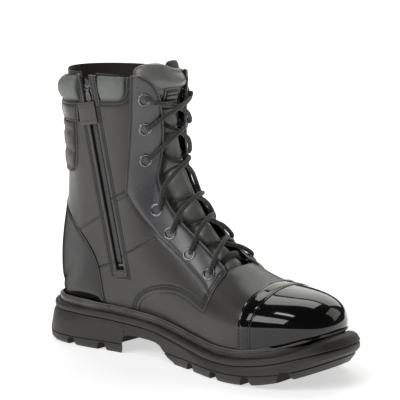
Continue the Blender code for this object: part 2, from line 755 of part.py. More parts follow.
def tongue():
    columns = np.linspace(-1, 1, 13)
    top, bottom = [], []
    for s in TONGUE_ROWS:
        half = tongue_half(s)
        for c in columns:
            here, normal = surface_frame(s, c * half)
            top.append(here + normal * tongue_height(s, c * half))
            bottom.append(here + normal * TONGUE_LOW)
    rows, cols, n = len(TONGUE_ROWS), len(columns), len(top)
    faces = []
    for r in range(rows - 1):
        for c in range(cols - 1):
            i = r * cols + c
            faces += [[i, i + cols, i + 1], [i + 1, i + cols, i + cols + 1]]
    faces += [[i + n for i in reversed(f)] for f in faces]
    rim = ([(r * cols, (r + 1) * cols) for r in range(rows - 1)]
           + [((rows - 1) * cols + c, (rows - 1) * cols + c + 1) for c in range(cols - 1)]
           + [((r + 1) * cols - 1 + cols, (r + 1) * cols - 1) for r in range(rows - 2, -1, -1)]
           + [(c + 1, c) for c in range(cols - 2, -1, -1)])
    faces += [[j, i, i + n, j + n] for i, j in rim]
    return make("tongue", "soft_leather", np.array(top + bottom), faces)


# ------------------------------------------------------------------ eyelets and lace

# Eyelet rows: station, and share of the side's length from the front centre line
EYELETS = [(8.20, .33), (9.16, .31), (10.20, .29), (11.40, .24), (14.56, .18), (16.56, .19), (18.48, .20)]
EYELET_BORE = 2.9
EYELET_BARREL = 3.6
EYELET_FLANGE = 5.0
LACE_RADIUS = 2.0


def eyelet_arc(k):
    s, c = EYELETS[k]
    return c * side_length(s, 1)


def eyelet_place(k, side):
    """Centre of an eyelet on the facets, and its axis."""
    here = on_surface(EYELETS[k][0], side * eyelet_arc(k))
    place, _, _, _ = FACETS.find_nearest(Vector(here))
    return np.array(place), surface_frame(EYELETS[k][0], side * eyelet_arc(k))[1]


def eyelets():
    front = RAISED + .95
    profile = [(EYELET_BORE, -3.1), (4.6, -3.1), (4.6, -2.5), (EYELET_BARREL, -2.5), (EYELET_BARREL, front),
               (EYELET_FLANGE, front), (EYELET_BORE, front + .8)]
    for side, label in ((-1, "medial"), (1, "lateral")):
        for k in range(len(EYELETS)):
            here, normal = eyelet_place(k, side)
            revolve("eyelet_%s_%d" % (label, k + 1), "eyelet", profile, here, normal, 9)
            facing = bpy.data.objects["facing_%s_%s" % ("lower" if k < 4 else "upper", label)]
            hole = drill("hole_%s_%d" % (label, k + 1), here, normal, EYELET_BARREL + .35)
            boolean(facing, hole)


def drill(name, origin, axis, radius, sides=10, reach=6.0):
    axis = Vector(axis).normalized()
    side = axis.orthogonal().normalized()
    other = axis.cross(side)
    verts = []
    for h in (-reach, reach):
        for k in range(sides):
            angle = 2 * math.pi * k / sides
            out = side * math.cos(angle) + other * math.sin(angle)
            verts.append(np.array(Vector(origin) + out * radius + axis * h))
    faces = [list(range(sides))[::-1], list(range(sides, 2 * sides))]
    faces += [[k, (k + 1) % sides, sides + (k + 1) % sides, sides + k] for k in range(sides)]
    return make(name, None, verts, faces)


LACE_UNDER = -5.9
LACE_OVER = 5.5
LACE_LOW = 0.0
LACE_HIGH = 4.7


def rise_through(k, side):
    """Lace up through an eyelet: from under the facing to above its flange."""
    s, arc = EYELETS[k][0], eyelet_arc(k)
    steps = [(-3.6, LACE_UNDER), (-.9, LACE_UNDER + .7), (0, -3.4), (0, 2.8), (-1.0, LACE_OVER - .7),
             (-3.8, LACE_OVER)]
    here, normal = eyelet_place(k, side)
    toward = on_surface(s, side * (arc - 6)) - here
    toward -= normal * (toward @ normal)
    toward /= np.linalg.norm(toward)
    return [here + toward * -d + normal * h for d, h in steps]


def rung(k, side, centre_height):
    """Lace from eyelet k on one side over the tongue and under the facing to the next one up."""
    s0, s1 = EYELETS[k][0], EYELETS[k + 1][0]
    e0, e1 = throat_half(s0 * .75 + s1 * .25), throat_half(s0 * .2 + s1 * .8)
    points = [(s0 + .22 * (s1 - s0), e0 - 1.5, 4.3 + .2 * (centre_height - LACE_LOW)),
              (s0 + .36 * (s1 - s0), e0 * .48, centre_height + (.8 if centre_height < 2 else .2)),
              (s0 + .52 * (s1 - s0), 0, centre_height),
              (s0 + .68 * (s1 - s0), -e1 * .50, centre_height - (1.6 if centre_height < 2 else 1.9)),
              (s0 + .82 * (s1 - s0), -(e1 - 4.5), LACE_UNDER + .6),
              (s0 + .93 * (s1 - s0), -(e1 + .5), LACE_UNDER)]
    return [lifted(s, side * a, h) for s, a, h in points]


def last_rung(k, side, centre_height):
    """Lace from eyelet k over the tongue and the far facing, down into the top eyelet, and its end."""
    s0, s1 = EYELETS[k][0], EYELETS[k + 1][0]
    e0, e1 = throat_half(s0 * .75 + s1 * .25), throat_half(s0 * .35 + s1 * .65)
    arc = eyelet_arc(k + 1)
    high = centre_height > 2
    points = [(.22, e0 - 1.5, 5.2 if high else 4.3), (.33, e0 * .48, centre_height + .3),
              (.46, 0, centre_height), (.58, -e1 * .5, centre_height + (-.6 if high else .6)),
              (.68, -(e1 - 1.5), 4.1), (.82, -(e1 + arc) / 2, LACE_OVER - .6),
              (.92, -(arc - 6.5), LACE_OVER - .1)]
    over = [lifted(s0 + f * (s1 - s0), side * a, h) for f, a, h in points]
    tail = [(-.07, arc - 6.3, LACE_UNDER - .2), (-.24, arc - 8.3, LACE_UNDER - .4),
            (-.46, arc - 9.2, LACE_UNDER - .5)]
    return over + rise_through(k + 1, -side)[::-1] + [lifted(s1 + ds, -side * a, h) for ds, a, h in tail]


def lace_points():
    """One lace, from its end inside one top eyelet to its end inside the other."""
    last = len(EYELETS) - 1
    runs = {}
    for start in (-1, 1):
        pts, side = [], start
        for k in range(last):
            pts += rise_through(k, side)
            centre = LACE_HIGH if side < 0 else LACE_LOW
            pts += last_rung(k, side, centre) if k + 1 == last else rung(k, side, centre)
            side = -side
        runs[start] = pts
    s = EYELETS[0][0]
    edge = throat_half(s)
    bar = [(edge + 1.5, LACE_UNDER), (edge - 4, LACE_UNDER + 1.2), (edge * .3, -.2)]
    bar_points = [lifted(s, side * a, h) for side, (a, h) in
                  [(-1, bar[0]), (-1, bar[1]), (-1, bar[2]), (1, bar[2]), (1, bar[1]), (1, bar[0])]]
    return runs[-1][::-1] + bar_points + runs[1]


def lace():
    curve = bpy.data.curves.new("lace", "CURVE")
    curve.dimensions = "3D"
    curve.bevel_depth = LACE_RADIUS * MM
    curve.bevel_resolution = 2
    curve.use_fill_caps = True
    points = lace_points()
    spline = curve.splines.new("POLY")
    spline.points.add(len(points) - 1)
    for point, co in zip(spline.points, points):
        point.co = (*(co * MM), 1)
    curve.materials.append(material("lace"))
    bpy.context.scene.collection.objects.link(bpy.data.objects.new("lace", curve))
    for label, tip, before in (("aglet_first", points[0], points[1]), ("aglet_last", points[-1], points[-2])):
        out = (tip - before) / np.linalg.norm(tip - before)
        profile = [(.3, GAP), (2.2, GAP), (2.2, 7.5), (1.2, 8.5), (.3, 8.5)]
        revolve(label, "aglet", profile, tip, out, 8)


# ------------------------------------------------------------------ zip

def zip_frame():
    """Origin at the top of the zip on the leather surface; u forward, v down, n outward."""
    origin = np.array([zip_x(ZIP_TOP_Z), zip_y(ZIP_TOP_Z), ZIP_TOP_Z])
    down = np.array([-ZIP_X_SLOPE, -ZIP_Y_SLOPE, -1.0])
    down /= np.linalg.norm(down)
    out = np.array([0.0, -1.0, ZIP_Y_SLOPE])
    out /= np.linalg.norm(out)
    forward = np.cross(down, out)
    forward /= np.linalg.norm(forward)
    if forward[0] < 0:
        forward = -forward
    return origin, forward, down, out


ZIP_LENGTH = (ZIP_TOP_Z - ZIP_END_Z) * math.sqrt(1 + ZIP_X_SLOPE**2 + ZIP_Y_SLOPE**2)
SLIDER_AT = 4.0
SLIDER_LENGTH = 11.0
PULL_AXIS = (4.5, .55)
PULL_LENGTH = 10.4
TAB_TOP = 19.5
TAB_BOTTOM = 38.0
TAB_ROOT = -12.4
TAB_TIP = 8.0


def rectangle(u0, u1, v0, v1, cut=0.0):
    """Corners in the order that faces +n when u, v, n is left-handed; cut trims the corners."""
    if not cut:
        return [(u0, v0), (u0, v1), (u1, v1), (u1, v0)]
    return [(u0, v0 + cut), (u0, v1 - cut), (u0 + cut, v1), (u1 - cut, v1), (u1, v1 - cut),
            (u1, v0 + cut), (u1 - cut, v0), (u0 + cut, v0)]


def zip_parts():
    frame = zip_frame()
    for label, sign in (("front", 1), ("rear", -1)):
        near, far, inner, outer = sign * 1.6, sign * 13.0, sign * .75, sign * 3.2
        tape = rectangle(min(near, far), max(near, far), -1, ZIP_LENGTH + 4)
        prism("zip_tape_" + label, "zip_tape", tape, -4.05, -3.5, frame)
        chain = rectangle(min(inner, outer), max(inner, outer), 0, ZIP_LENGTH - 3)
        prism("zip_chain_" + label, "zip_coil", chain, -3.15, -1.7, frame)
    stop = rectangle(-3.6, 3.6, ZIP_LENGTH - 2.6, ZIP_LENGTH)
    prism("zip_bottom_stop", "zip_metal", stop, -3.15, -2.2, frame)
    end_patch = rectangle(-11, 10, ZIP_LENGTH + .5, ZIP_LENGTH + 8.5, 2.5)
    prism("zip_end_patch", "leather", end_patch, OVERLAY + .2, OVERLAY + 1.4, frame)
    slider(frame)
    pull(frame)
    tab(frame)


def slider(frame):
    """Two plates joined by a thin post that runs in the gap between the two rows."""
    v0, v1 = SLIDER_AT, SLIDER_AT + SLIDER_LENGTH
    top = prism("zip_slider", "zip_metal", rectangle(-4.1, 4.1, v0, v1, 1.2), -1.3, -.3, frame)
    under = prism("slider_under_plate", None, rectangle(-4.1, 4.1, v0, v1, 1.2), -5.5, -4.4, frame)
    post = prism("slider_post", None, rectangle(-.4, .4, v0 + 1.5, v0 + 5.5), -5.0, -.8, frame)
    boolean(top, post, "UNION")
    boolean(top, under, "UNION")
    for k, u in enumerate((-2.3, 2.3)):
        lug = rectangle(u - .5, u + .5, v0 + PULL_AXIS[0] - 1.2, v0 + PULL_AXIS[0] + 1.2)
        boolean(top, prism("slider_lug_%d" % k, None, lug, -.7, .9, frame), "UNION")


def pull(frame):
    """A short tab that hangs from a cross-bar between the slider's two lugs."""
    v0 = SLIDER_AT + PULL_AXIS[0]
    outline = [(-1.45, v0 - .45), (-1.45, v0 + 2.6), (-2.6, v0 + 4), (-2.6, v0 + PULL_LENGTH - 1),
               (-1.6, v0 + PULL_LENGTH), (1.6, v0 + PULL_LENGTH), (2.6, v0 + PULL_LENGTH - 1),
               (2.6, v0 + 4), (1.45, v0 + 2.6), (1.45, v0 - .45)]
    prism("zip_pull", "zip_metal", outline, .1, .95, frame)


def tab(frame):
    """Leather tab over the slider's path, sewn on at its rear edge and snapped at its tip."""
    outline = rectangle(TAB_ROOT, TAB_TIP, TAB_TOP, TAB_BOTTOM, 1.0)
    prism("zip_tab", "leather", outline, 1.5, 3.0, frame)


# ------------------------------------------------------------------ build

def clear_scene():
    for item in list(bpy.context.scene.objects):
        bpy.data.objects.remove(item, do_unlink=True)


def main():
    clear_scene()
    sole_unit()
    inside_pieces()
    upper_panels()
    collar_and_trim()
    inner_layers()
    tongue()
    eyelets()
    lace()
    zip_parts()
    for item in bpy.context.scene.objects:
        if item.type == "MESH" and item.name.startswith(("eyelet", "aglet")):
            item.data.shade_smooth()
            item.data.set_sharp_from_angle(angle=math.radians(40))


main()
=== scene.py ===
"""The looks of a side-zip leather fire station boot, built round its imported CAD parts.

+X points to the toe, +Z up, and the medial side with the zip faces -Y. Working numbers are
millimetres. The upper is drawn on one base surface, addressed by station s and by arc distance a
from the front centre line, lateral side positive; h is height above that surface.
"""
import math

import bmesh
import bpy
import numpy as np
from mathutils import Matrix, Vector


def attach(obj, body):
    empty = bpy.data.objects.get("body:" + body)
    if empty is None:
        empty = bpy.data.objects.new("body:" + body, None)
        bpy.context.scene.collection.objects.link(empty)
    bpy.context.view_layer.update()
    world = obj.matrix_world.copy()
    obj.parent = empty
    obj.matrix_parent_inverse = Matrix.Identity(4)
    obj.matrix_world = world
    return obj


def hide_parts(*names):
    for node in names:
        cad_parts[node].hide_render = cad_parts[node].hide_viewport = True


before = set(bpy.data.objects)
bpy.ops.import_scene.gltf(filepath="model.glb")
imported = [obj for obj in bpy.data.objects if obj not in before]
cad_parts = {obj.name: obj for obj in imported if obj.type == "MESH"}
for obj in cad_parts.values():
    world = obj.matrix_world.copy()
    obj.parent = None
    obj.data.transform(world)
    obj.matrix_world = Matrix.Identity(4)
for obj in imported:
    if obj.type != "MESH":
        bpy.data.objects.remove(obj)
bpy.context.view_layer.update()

MM = 0.001

# ------------------------------------------------------------------ base surface, as in the CAD part

SOLE_OUTLINE = [(-152, 0), (-147, -21), (-130, -36), (-100, -40), (-62, -37), (-20, -35), (20, -44),
                (55, -54.5), (88, -57), (118, -49.5), (140, -32), (152, -6), (146, 21), (126, 41),
                (97, 53), (62, 57.2), (25, 56), (-15, 50), (-60, 44), (-100, 43), (-130, 37),
                (-147, 21)]
STATIONS = [
    (0, 138, 40, 138, 39, 0, 0, .20, 1.0),
    (1, 141, 47, 136, 36, 14, 10, .26, 1.0),
    (2, 140, 55, 129, 35, 27, 19, .32, .98),
    (3, 134, 63, 119, 33, 37, 28, .36, .94),
    (4, 121, 69, 107, 31, 43, 36, .38, .92),
    (5, 104, 72, 92, 30, 47, 42, .38, .92),
    (6, 84, 74, 74, 29, 48, 46, .36, .94),
    (7, 62, 79, 51, 29, 45, 48, .32, .97),
    (8, 39, 90, 24, 30, 39, 45, .30, 1.0),
    (9, 19, 107, -10, 33, 36, 41, .30, 1.0),
    (10, 4, 125, -50, 37, 35, 38, .34, 1.0),
    (11, -6, 140, -88, 39, 36, 37, .40, 1.0),
    (12, -13, 153, -122, 41, 37, 37, .45, 1.0),
    (13, -18, 164, -143, 42, 37, 37, .50, 1.0),
    (14, -21, 174, -146, 66, 38, 38, .52, 1.0),
    (15, -23, 185, -143, 92, 39, 39, .53, 1.0),
    (16, -24, 196, -137, 118, 41, 40, .53, 1.0),
    (17, -25, 207, -134, 147, 43, 42, .53, 1.0),
    (18, -25, 218, -134, 176, 45, 44, .53, 1.0),
    (19, -25, 228, -136, 207, 46, 45, .53, 1.0),
    (20, -25, 238, -139, 238, 47, 46, .53, 1.0),
    (21, -26, 250, -141, 250, 48, 47, .53, 1.0),
]
HEEL_STATION = 13
LAST_STATION = 21
ZIP_TOP_Z, ZIP_END_Z = 235.0, 75.0
ZIP_X_AT_TOP, ZIP_X_SLOPE = -85.8, -0.165
ZIP_Y_AT_END, ZIP_Y_SLOPE = -34.7, -0.0708
ZIP_FLAT, ZIP_BLEND = 15.0, 42.0


def hermite(xs, ys, x):
    """Smooth curve through points, with finite-difference slopes."""
    xs, ys, x = (np.asarray(v, float) for v in (xs, ys, x))
    step = np.diff(xs)
    wide = step[:, None] if ys.ndim == 2 else step
    slope = np.diff(ys, axis=0) / wide
    tangent = np.concatenate([slope[:1], slope])
    tangent[1:-1] = (slope[:-1] * wide[1:] + slope[1:] * wide[:-1]) / (wide[1:] + wide[:-1])
    i = np.clip(np.searchsorted(xs, x, side="right") - 1, 0, len(xs) - 2)
    t, h = (x - xs[i]) / step[i], step[i]
    if ys.ndim == 2:
        t, h = np.asarray(t)[..., None], np.asarray(h)[..., None]
    return ((2 * t**3 - 3 * t**2 + 1) * ys[i] + (t**3 - 2 * t**2 + t) * h * tangent[i]
            + (3 * t**2 - 2 * t**3) * ys[i + 1] + (t**3 - t**2) * h * tangent[i + 1])


def arc_length(points):
    return np.concatenate([[0], np.cumsum(np.linalg.norm(np.diff(points, axis=0), axis=1))])


def centripetal(points):
    """Curve parameters that grow with the square root of each step."""
    steps = np.linalg.norm(np.diff(points, axis=0), axis=1)
    return np.concatenate([[0], np.cumsum(np.sqrt(steps))])


def resample(points, count):
    """The same open polyline with evenly spaced points."""
    length = arc_length(points)
    at = np.linspace(0, length[-1], count)
    return np.stack([np.interp(at, length, points[:, k]) for k in range(points.shape[1])], 1)


def smooth_step(low, high, value):
    t = np.clip((value - low) / (high - low), 0, 1)
    return t * t * (3 - 2 * t)


def quarter_round(value, radius):
    """From 0 at 0 up to 1 at the radius and beyond, as a quarter circle."""
    return np.sqrt(np.clip(1 - (1 - np.clip(value / radius, 0, 1))**2, 0, 1))


def soften(values, reach):
    """Gaussian blur along the first axis, with its ends held."""
    span = int(3 * reach) + 1
    kernel = np.exp(-.5 * (np.arange(-span, span + 1) / reach)**2)
    kernel /= kernel.sum()
    head = 2 * values[0] - values[span:0:-1]
    tail = 2 * values[-1] - values[-2:-span - 2:-1]
    padded = np.concatenate([head, values, tail])
    return np.stack([np.convolve(padded[:, k], kernel, "valid") for k in range(values.shape[1])], 1)


def sole_loop(half):
    """Closed outline of the sole: heel tip, medial side, toe tip, lateral side."""
    raw = np.array(SOLE_OUTLINE, float)
    ring = np.vstack([raw[-3:], raw, raw[:4]])
    at = centripetal(ring)
    dense = hermite(at, ring, np.linspace(at[3], at[3 + len(raw)], 1200))
    toe = int(np.argmax(dense[:, 0]))
    medial, lateral = resample(dense[:toe + 1], half + 1), resample(dense[toe:], half + 1)
    return np.vstack([medial[:-1], lateral[:-1]])


def inset(loop, distance):
    loop = loop.copy()
    for _ in range(4):
        run = np.roll(loop, -1, 0) - np.roll(loop, 1, 0)
        run /= np.linalg.norm(run, axis=1)[:, None]
        inward = np.stack([-run[:, 1], run[:, 0]], 1)
        loop += inward * (np.asarray(distance) / 4).reshape(-1, 1)
    return loop


def feather_inset(x):
    return np.interp(x, [-152, -120, -40, 60, 120, 152], [8, 8, 8, 9, 12, 14])


def welt_z(x):
    return hermite([-155, -110, -65, -30, 5, 40, 75, 110, 145, 160],
                   [39.5, 39, 37.5, 34.5, 29.5, 25.5, 25.5, 31, 41.5, 46], x)


def ground_z(x):
    return np.maximum(hermite([-155, -140, -120, 70, 95, 125, 155], [3, .5, 0, 0, 2, 9, 20], x), 0)


DENSE = sole_loop(300)
FEATHER = inset(DENSE, feather_inset(DENSE[:, 0]))
FEATHER_TIP, FEATHER_HEEL = int(np.argmax(FEATHER[:, 0])), int(np.argmin(FEATHER[:, 0]))
FEATHER_SIDE = {-1: FEATHER[FEATHER_HEEL:FEATHER_TIP + 1],
                1: np.vstack([FEATHER[FEATHER_TIP:], FEATHER[:FEATHER_HEEL + 1]])[::-1]}
S_FINE = np.linspace(0, LAST_STATION, 421)
STATION_ROWS = np.array(STATIONS, float)
SHAPE_FINE = soften(hermite(STATION_ROWS[:, 0], STATION_ROWS[:, 1:], S_FINE), 5.0)


def zip_x(z):
    return ZIP_X_AT_TOP + ZIP_X_SLOPE * (z - ZIP_TOP_Z)


def zip_y(z):
    return ZIP_Y_AT_END + ZIP_Y_SLOPE * (z - ZIP_END_Z)


def section(s, side, count):
    """One side of a section, from its front centre point to the feather or the back line."""
    tx, tz, qx, qz, w_med, w_lat, low, e = (np.interp(s, S_FINE, SHAPE_FINE[:, k]) for k in range(8))
    width, end = max(w_med if side < 0 else w_lat, 0), 0.0
    if s <= HEEL_STATION:
        edge = FEATHER_SIDE[side]
        end = abs(float(np.interp(qx, edge[:, 0], edge[:, 1])))
        qz = float(welt_z(qx))
    width = max(width, end * 1.002 + 1e-6)
    middle = float(np.interp(s, [0, 3, 8, 13], [FEATHER[FEATHER_TIP, 1], -2, -1, 0]))
    top, bottom = np.array([tx, tz]), np.array([qx, qz])
    upper = np.linspace(0, math.pi / 2, 100)
    lower = np.linspace(0, math.acos(min(end / width, .9999)), 100)[1:]
    across = np.concatenate([middle + side * (width - side * middle) * np.sin(upper)**e,
                             side * width * np.cos(lower)])
    along = np.concatenate([low + (1 - low) * np.cos(upper)**e,
                            low * (1 - np.sin(lower) / np.sin(lower[-1]))])
    plan = bottom + (top - bottom) * along[:, None]
    points = np.stack([plan[:, 0], across, plan[:, 1]], 1)
    if side < 0:
        weight = 1 - smooth_step(ZIP_FLAT, ZIP_BLEND, np.abs(points[:, 0] - zip_x(points[:, 2])))
        weight = weight * smooth_step(38, 66, points[:, 2])
        points[:, 1] += weight * (zip_y(points[:, 2]) - points[:, 1])
    return resample(points, count)


ROWS, COLS = 210, 112
S_ROWS = np.linspace(0, LAST_STATION, ROWS + 1)


def base_grid():
    """Points, outward normals and side lengths on an even grid of stations and arc shares."""
    points = np.zeros((ROWS + 1, 2 * COLS + 1, 3))
    lengths = np.zeros((ROWS + 1, 2))
    for r, s in enumerate(S_ROWS):
        for k, side in enumerate((-1, 1)):
            line = section(s, side, COLS + 1)
            lengths[r, k] = arc_length(line)[-1]
            if side < 0:
                points[r, :COLS + 1] = line[::-1]
            else:
                points[r, COLS:] = line
    face = np.cross(points[:-1, 1:] - points[1:, :-1], points[1:, 1:] - points[:-1, :-1])
    normals = np.zeros_like(points)
    for dr in (0, 1):
        for dc in (0, 1):
            normals[dr:ROWS + dr, dc:2 * COLS + dc] += face
    heel = S_ROWS >= HEEL_STATION
    back = normals[heel, 0] + normals[heel, -1]
    normals[heel, 0], normals[heel, -1] = back, back
    normals[0] = normals[0].sum(0)
    normals /= np.linalg.norm(normals, axis=2)[:, :, None] + 1e-12
    if normals[150, COLS, 0] < 0:
        normals = -normals
    return points, normals, lengths


GRID_P, GRID_N, SIDE_LENGTH = base_grid()


def side_length(s, side=1):
    return np.interp(s, S_ROWS, SIDE_LENGTH[:, 0 if side < 0 else 1])


def surface(s, a):
    """Points and normals at arrays of stations and arc distances."""
    s, a = np.broadcast_arrays(np.asarray(s, float), np.asarray(a, float))
    row = np.clip(s / LAST_STATION * ROWS, 0, ROWS - 1e-6)
    r = row.astype(int)
    f = (row - r)[..., None]
    found = []
    for grid in (GRID_P, GRID_N):
        parts = []
        for rr in (r, r + 1):
            length = np.where(a < 0, SIDE_LENGTH[rr, 0], SIDE_LENGTH[rr, 1])
            col = np.clip(COLS + a / np.maximum(length, 1e-6) * COLS, 0, 2 * COLS - 1e-6)
            c = col.astype(int)
            g = (col - c)[..., None]
            parts.append(grid[rr, c] * (1 - g) + grid[rr, c + 1] * g)
        found.append(parts[0] * (1 - f) + parts[1] * f)
    normal = found[1] / np.linalg.norm(found[1], axis=-1)[..., None]
    return found[0], normal


def lift(s, a, h):
    """Points at height h over the base surface."""
    here, normal = surface(s, a)
    return here + normal * np.asarray(h, float)[..., None]


# ------------------------------------------------------------------ Blender objects

def placed(name, data):
    """A new object of the scene."""
    new = bpy.data.objects.new(name, data)
    bpy.context.scene.collection.objects.link(new)
    return new


def link(name, mesh, mat, slot, body="boot", smooth=True, sharp=None):
    """Puts a mesh in the scene with its material, on a CAD body."""
    mesh.validate()
    new = placed(name, mesh)
    mesh.materials.append(mat)
    if smooth:
        mesh.shade_smooth()
        if sharp:
            mesh.set_sharp_from_angle(angle=math.radians(sharp))
    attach(new, body)
    return new


def mesh_of(name, verts, faces, attributes=None, weld=0.0):
    mesh = bpy.data.meshes.new(name)
    mesh.from_pydata((np.asarray(verts, float) * MM).tolist(), [], [list(map(int, f)) for f in faces])
    for key, values in (attributes or {}).items():
        layer = mesh.attributes.new(key, "FLOAT", "POINT")
        layer.data.foreach_set("value", np.asarray(values, np.float32))
    turned = bmesh.new()
    turned.from_mesh(mesh)
    if weld:
        bmesh.ops.remove_doubles(turned, verts=turned.verts, dist=weld * MM)
    bmesh.ops.recalc_face_normals(turned, faces=turned.faces)
    turned.to_mesh(mesh)
    turned.free()
    return mesh


def grid_faces(rows, cols, start=0, closed_cols=False, closed_rows=False):
    """Quads of a grid of points numbered row by row."""
    faces = []
    for r in range(rows if closed_rows else rows - 1):
        up = (r + 1) % rows
        for c in range(cols if closed_cols else cols - 1):
            right = (c + 1) % cols
            faces.append((start + r * cols + c, start + r * cols + right,
                          start + up * cols + right, start + up * cols + c))
    return faces


def end_faces(rings, sides, start=0):
    """The two polygons that close a stack of rings."""
    last = start + (rings - 1) * sides
    return [tuple(start + q for q in range(sides))[::-1], tuple(last + q for q in range(sides))]


def prism_faces(n):
    """Faces between an outline of n points and its copy."""
    return ([tuple(range(n)), tuple(range(n, 2 * n))[::-1]]
            + [(i, (i + 1) % n, n + (i + 1) % n, n + i) for i in range(n)])


def two_skins(name, outer, inner, polys, attributes):
    """A closed mesh from an outer sheet, its inner copy and the walls round their rims."""
    n = len(outer)
    directed = {(p[k], p[(k + 1) % len(p)]) for p in polys for k in range(len(p))}
    faces = list(polys) + [tuple(i + n for i in reversed(p)) for p in polys]
    faces += [(j, i, i + n, j + n) for i, j in sorted(directed) if (j, i) not in directed]
    doubled = {key: np.tile(values, 2) for key, values in attributes.items()}
    return mesh_of(name, np.vstack([outer, inner]), faces, doubled, weld=.005)


# ------------------------------------------------------------------ materials

def shade(colour, factor, extra=0.0):
    """A colour made lighter or darker."""
    return tuple(min(1, c * factor + extra) for c in colour)


def node_tree(name, colour, roughness, metallic=0.0, coat=0.0, coat_roughness=.03, specular=.5, sheen=0.0):
    mat = bpy.data.materials.new(name)
    mat.use_nodes = True
    shader = mat.node_tree.nodes["Principled BSDF"]
    for socket, value in (("Base Color", (*colour, 1)), ("Roughness", roughness), ("Metallic", metallic),
                          ("Coat Weight", coat), ("Coat Roughness", coat_roughness),
                          ("Specular IOR Level", specular), ("Sheen Weight", sheen)):
        shader.inputs[socket].default_value = value
    return mat, mat.node_tree, shader


def add(tree, kind, **inputs):
    """A node, with its inputs set or linked, and its properties set."""
    new = tree.nodes.new(kind)
    for key, value in inputs.items():
        if hasattr(new, key) and key not in new.inputs:
            setattr(new, key, value)
            continue
        socket = new.inputs[int(key[1:])] if key[0] == "i" and key[1:].isdigit() else new.inputs[key]
        if isinstance(value, bpy.types.NodeSocket):
            tree.links.new(value, socket)
        else:
            socket.default_value = value
    return new


def place_of(tree, scale=(1, 1, 1)):
    """Object coordinates in millimetres, stretched."""
    coord = tree.nodes.new("ShaderNodeTexCoord")
    factor = tuple(1000 * v for v in scale)
    return add(tree, "ShaderNodeMapping", Vector=coord.outputs["Object"], Scale=factor).outputs[0]


def noise(tree, vector, scale, detail=3.0, roughness=.55):
    return add(tree, "ShaderNodeTexNoise", Vector=vector, Scale=scale, Detail=detail,
               Roughness=roughness).outputs["Fac"]


def remap(tree, value, low, high, to_low=0.0, to_high=1.0):
    new = add(tree, "ShaderNodeMapRange", **{"Value": value, "From Min": low, "From Max": high,
                                             "To Min": to_low, "To Max": to_high})
    return new.outputs[0]


def maths(tree, operation, first, second=0.0):
    return add(tree, "ShaderNodeMath", operation=operation, i0=first, i1=second).outputs[0]


def mixed(tree, factor, first, second):
    """A colour between two, by a factor."""
    new = add(tree, "ShaderNodeMix", data_type="RGBA")
    for index, value in ((0, factor), (6, first), (7, second)):
        if isinstance(value, bpy.types.NodeSocket):
            tree.links.new(value, new.inputs[index])
        else:
            new.inputs[index].default_value = (*value, 1) if isinstance(value, tuple) else value
    return new.outputs[2]


def bumped(tree, shader, *layers):
    """Stacks (height, strength, distance in mm) bumps on the shader's normal."""
    last = None
    for height, strength, distance in layers:
        new = add(tree, "ShaderNodeBump", Height=height, Strength=strength, Distance=distance * MM)
        if last:
            tree.links.new(last, new.inputs["Normal"])
        last = new.outputs[0]
    tree.links.new(last, shader.inputs["Normal"])
    if shader.inputs["Coat Weight"].default_value > 0:
        soft = add(tree, "ShaderNodeBump", Height=layers[0][0], Strength=layers[0][1] * .35,
                   Distance=layers[0][2] * MM)
        tree.links.new(soft.outputs[0], shader.inputs["Coat Normal"])


def attribute(tree, name):
    return add(tree, "ShaderNodeAttribute", attribute_name=name).outputs["Fac"]


def leather(name, colour, roughness=.42, grain=1.0, coat=.12, edge=1.6):
    """Satin black leather: pebbled grain, fine creases, lighter worn edges, and painted shade along the seams.
    """
    mat, tree, shader = node_tree(name, colour, roughness, coat=coat, coat_roughness=.28)
    place = place_of(tree)
    cells = add(tree, "ShaderNodeTexVoronoi", Vector=place, Scale=1.35, feature="SMOOTH_F1")
    pebble = cells.outputs["Distance"]
    pores = noise(tree, place, 2.6, 4.0, .7)
    crease = noise(tree, place, .16, 5.0, .6)
    cloud = noise(tree, place, .03, 3.0)
    wear = attribute(tree, "edge")
    seam_shade = attribute(tree, "seam")
    base = mixed(tree, remap(tree, cloud, .3, .7), shade(colour, .86), shade(colour, 1.12))
    base = mixed(tree, remap(tree, pebble, .05, .5, .35, 0), base, shade(colour, .55))
    base = mixed(tree, maths(tree, "MULTIPLY", wear, .55), base, shade(colour, edge, .02))
    # painted shade: near-black colour along stitch rows and pad edges, standing in for the shade in their
    # grooves
    base = mixed(tree, maths(tree, "MULTIPLY", seam_shade, .92), base, shade(colour, .12))
    tree.links.new(base, shader.inputs["Base Color"])
    rough = remap(tree, crease, .3, .7, roughness - .05, roughness + .07)
    rough = maths(tree, "SUBTRACT", rough, maths(tree, "MULTIPLY", wear, .1))
    tree.links.new(maths(tree, "ADD", rough, maths(tree, "MULTIPLY", seam_shade, .35)), shader.inputs["Roughness"])
    bumped(tree, shader, (pebble, .16 * grain, .12), (pores, .12 * grain, .05), (crease, .22 * grain, .5))
    return mat


def patent(name, coat=1.0, blur=.03, soft_edge=False):
    """High-gloss patent leather: near-black under a clear coat with a faint ripple."""
    mat, tree, shader = node_tree(name, (.002, .002, .002), .22, coat=coat, coat_roughness=blur, specular=.1)
    place = place_of(tree)
    ripple = noise(tree, place, .07, 2.0, .4)
    fine = noise(tree, place, 1.6, 2.0)
    seam_shade = attribute(tree, "seam")
    # painted shade: the base goes blacker along the stitch rows
    base = mixed(tree, maths(tree, "MULTIPLY", seam_shade, .8), (.0025, .0025, .0022), (.0008, .0008, .0008))
    tree.links.new(base, shader.inputs["Base Color"])
    rough = remap(tree, fine, .3, .7, .12, .2)
    if soft_edge:
        turning = add(tree, "ShaderNodeLayerWeight", Blend=.5).outputs["Facing"]
        tree.links.new(remap(tree, turning, .4, .8, coat, 0), shader.inputs["Coat Weight"])
        rough = maths(tree, "ADD", rough, remap(tree, turning, .35, .7, 0, .75))
    tree.links.new(rough, shader.inputs["Roughness"])
    bumped(tree, shader, (ripple, .35, .35), (fine, .03, .03))
    return mat


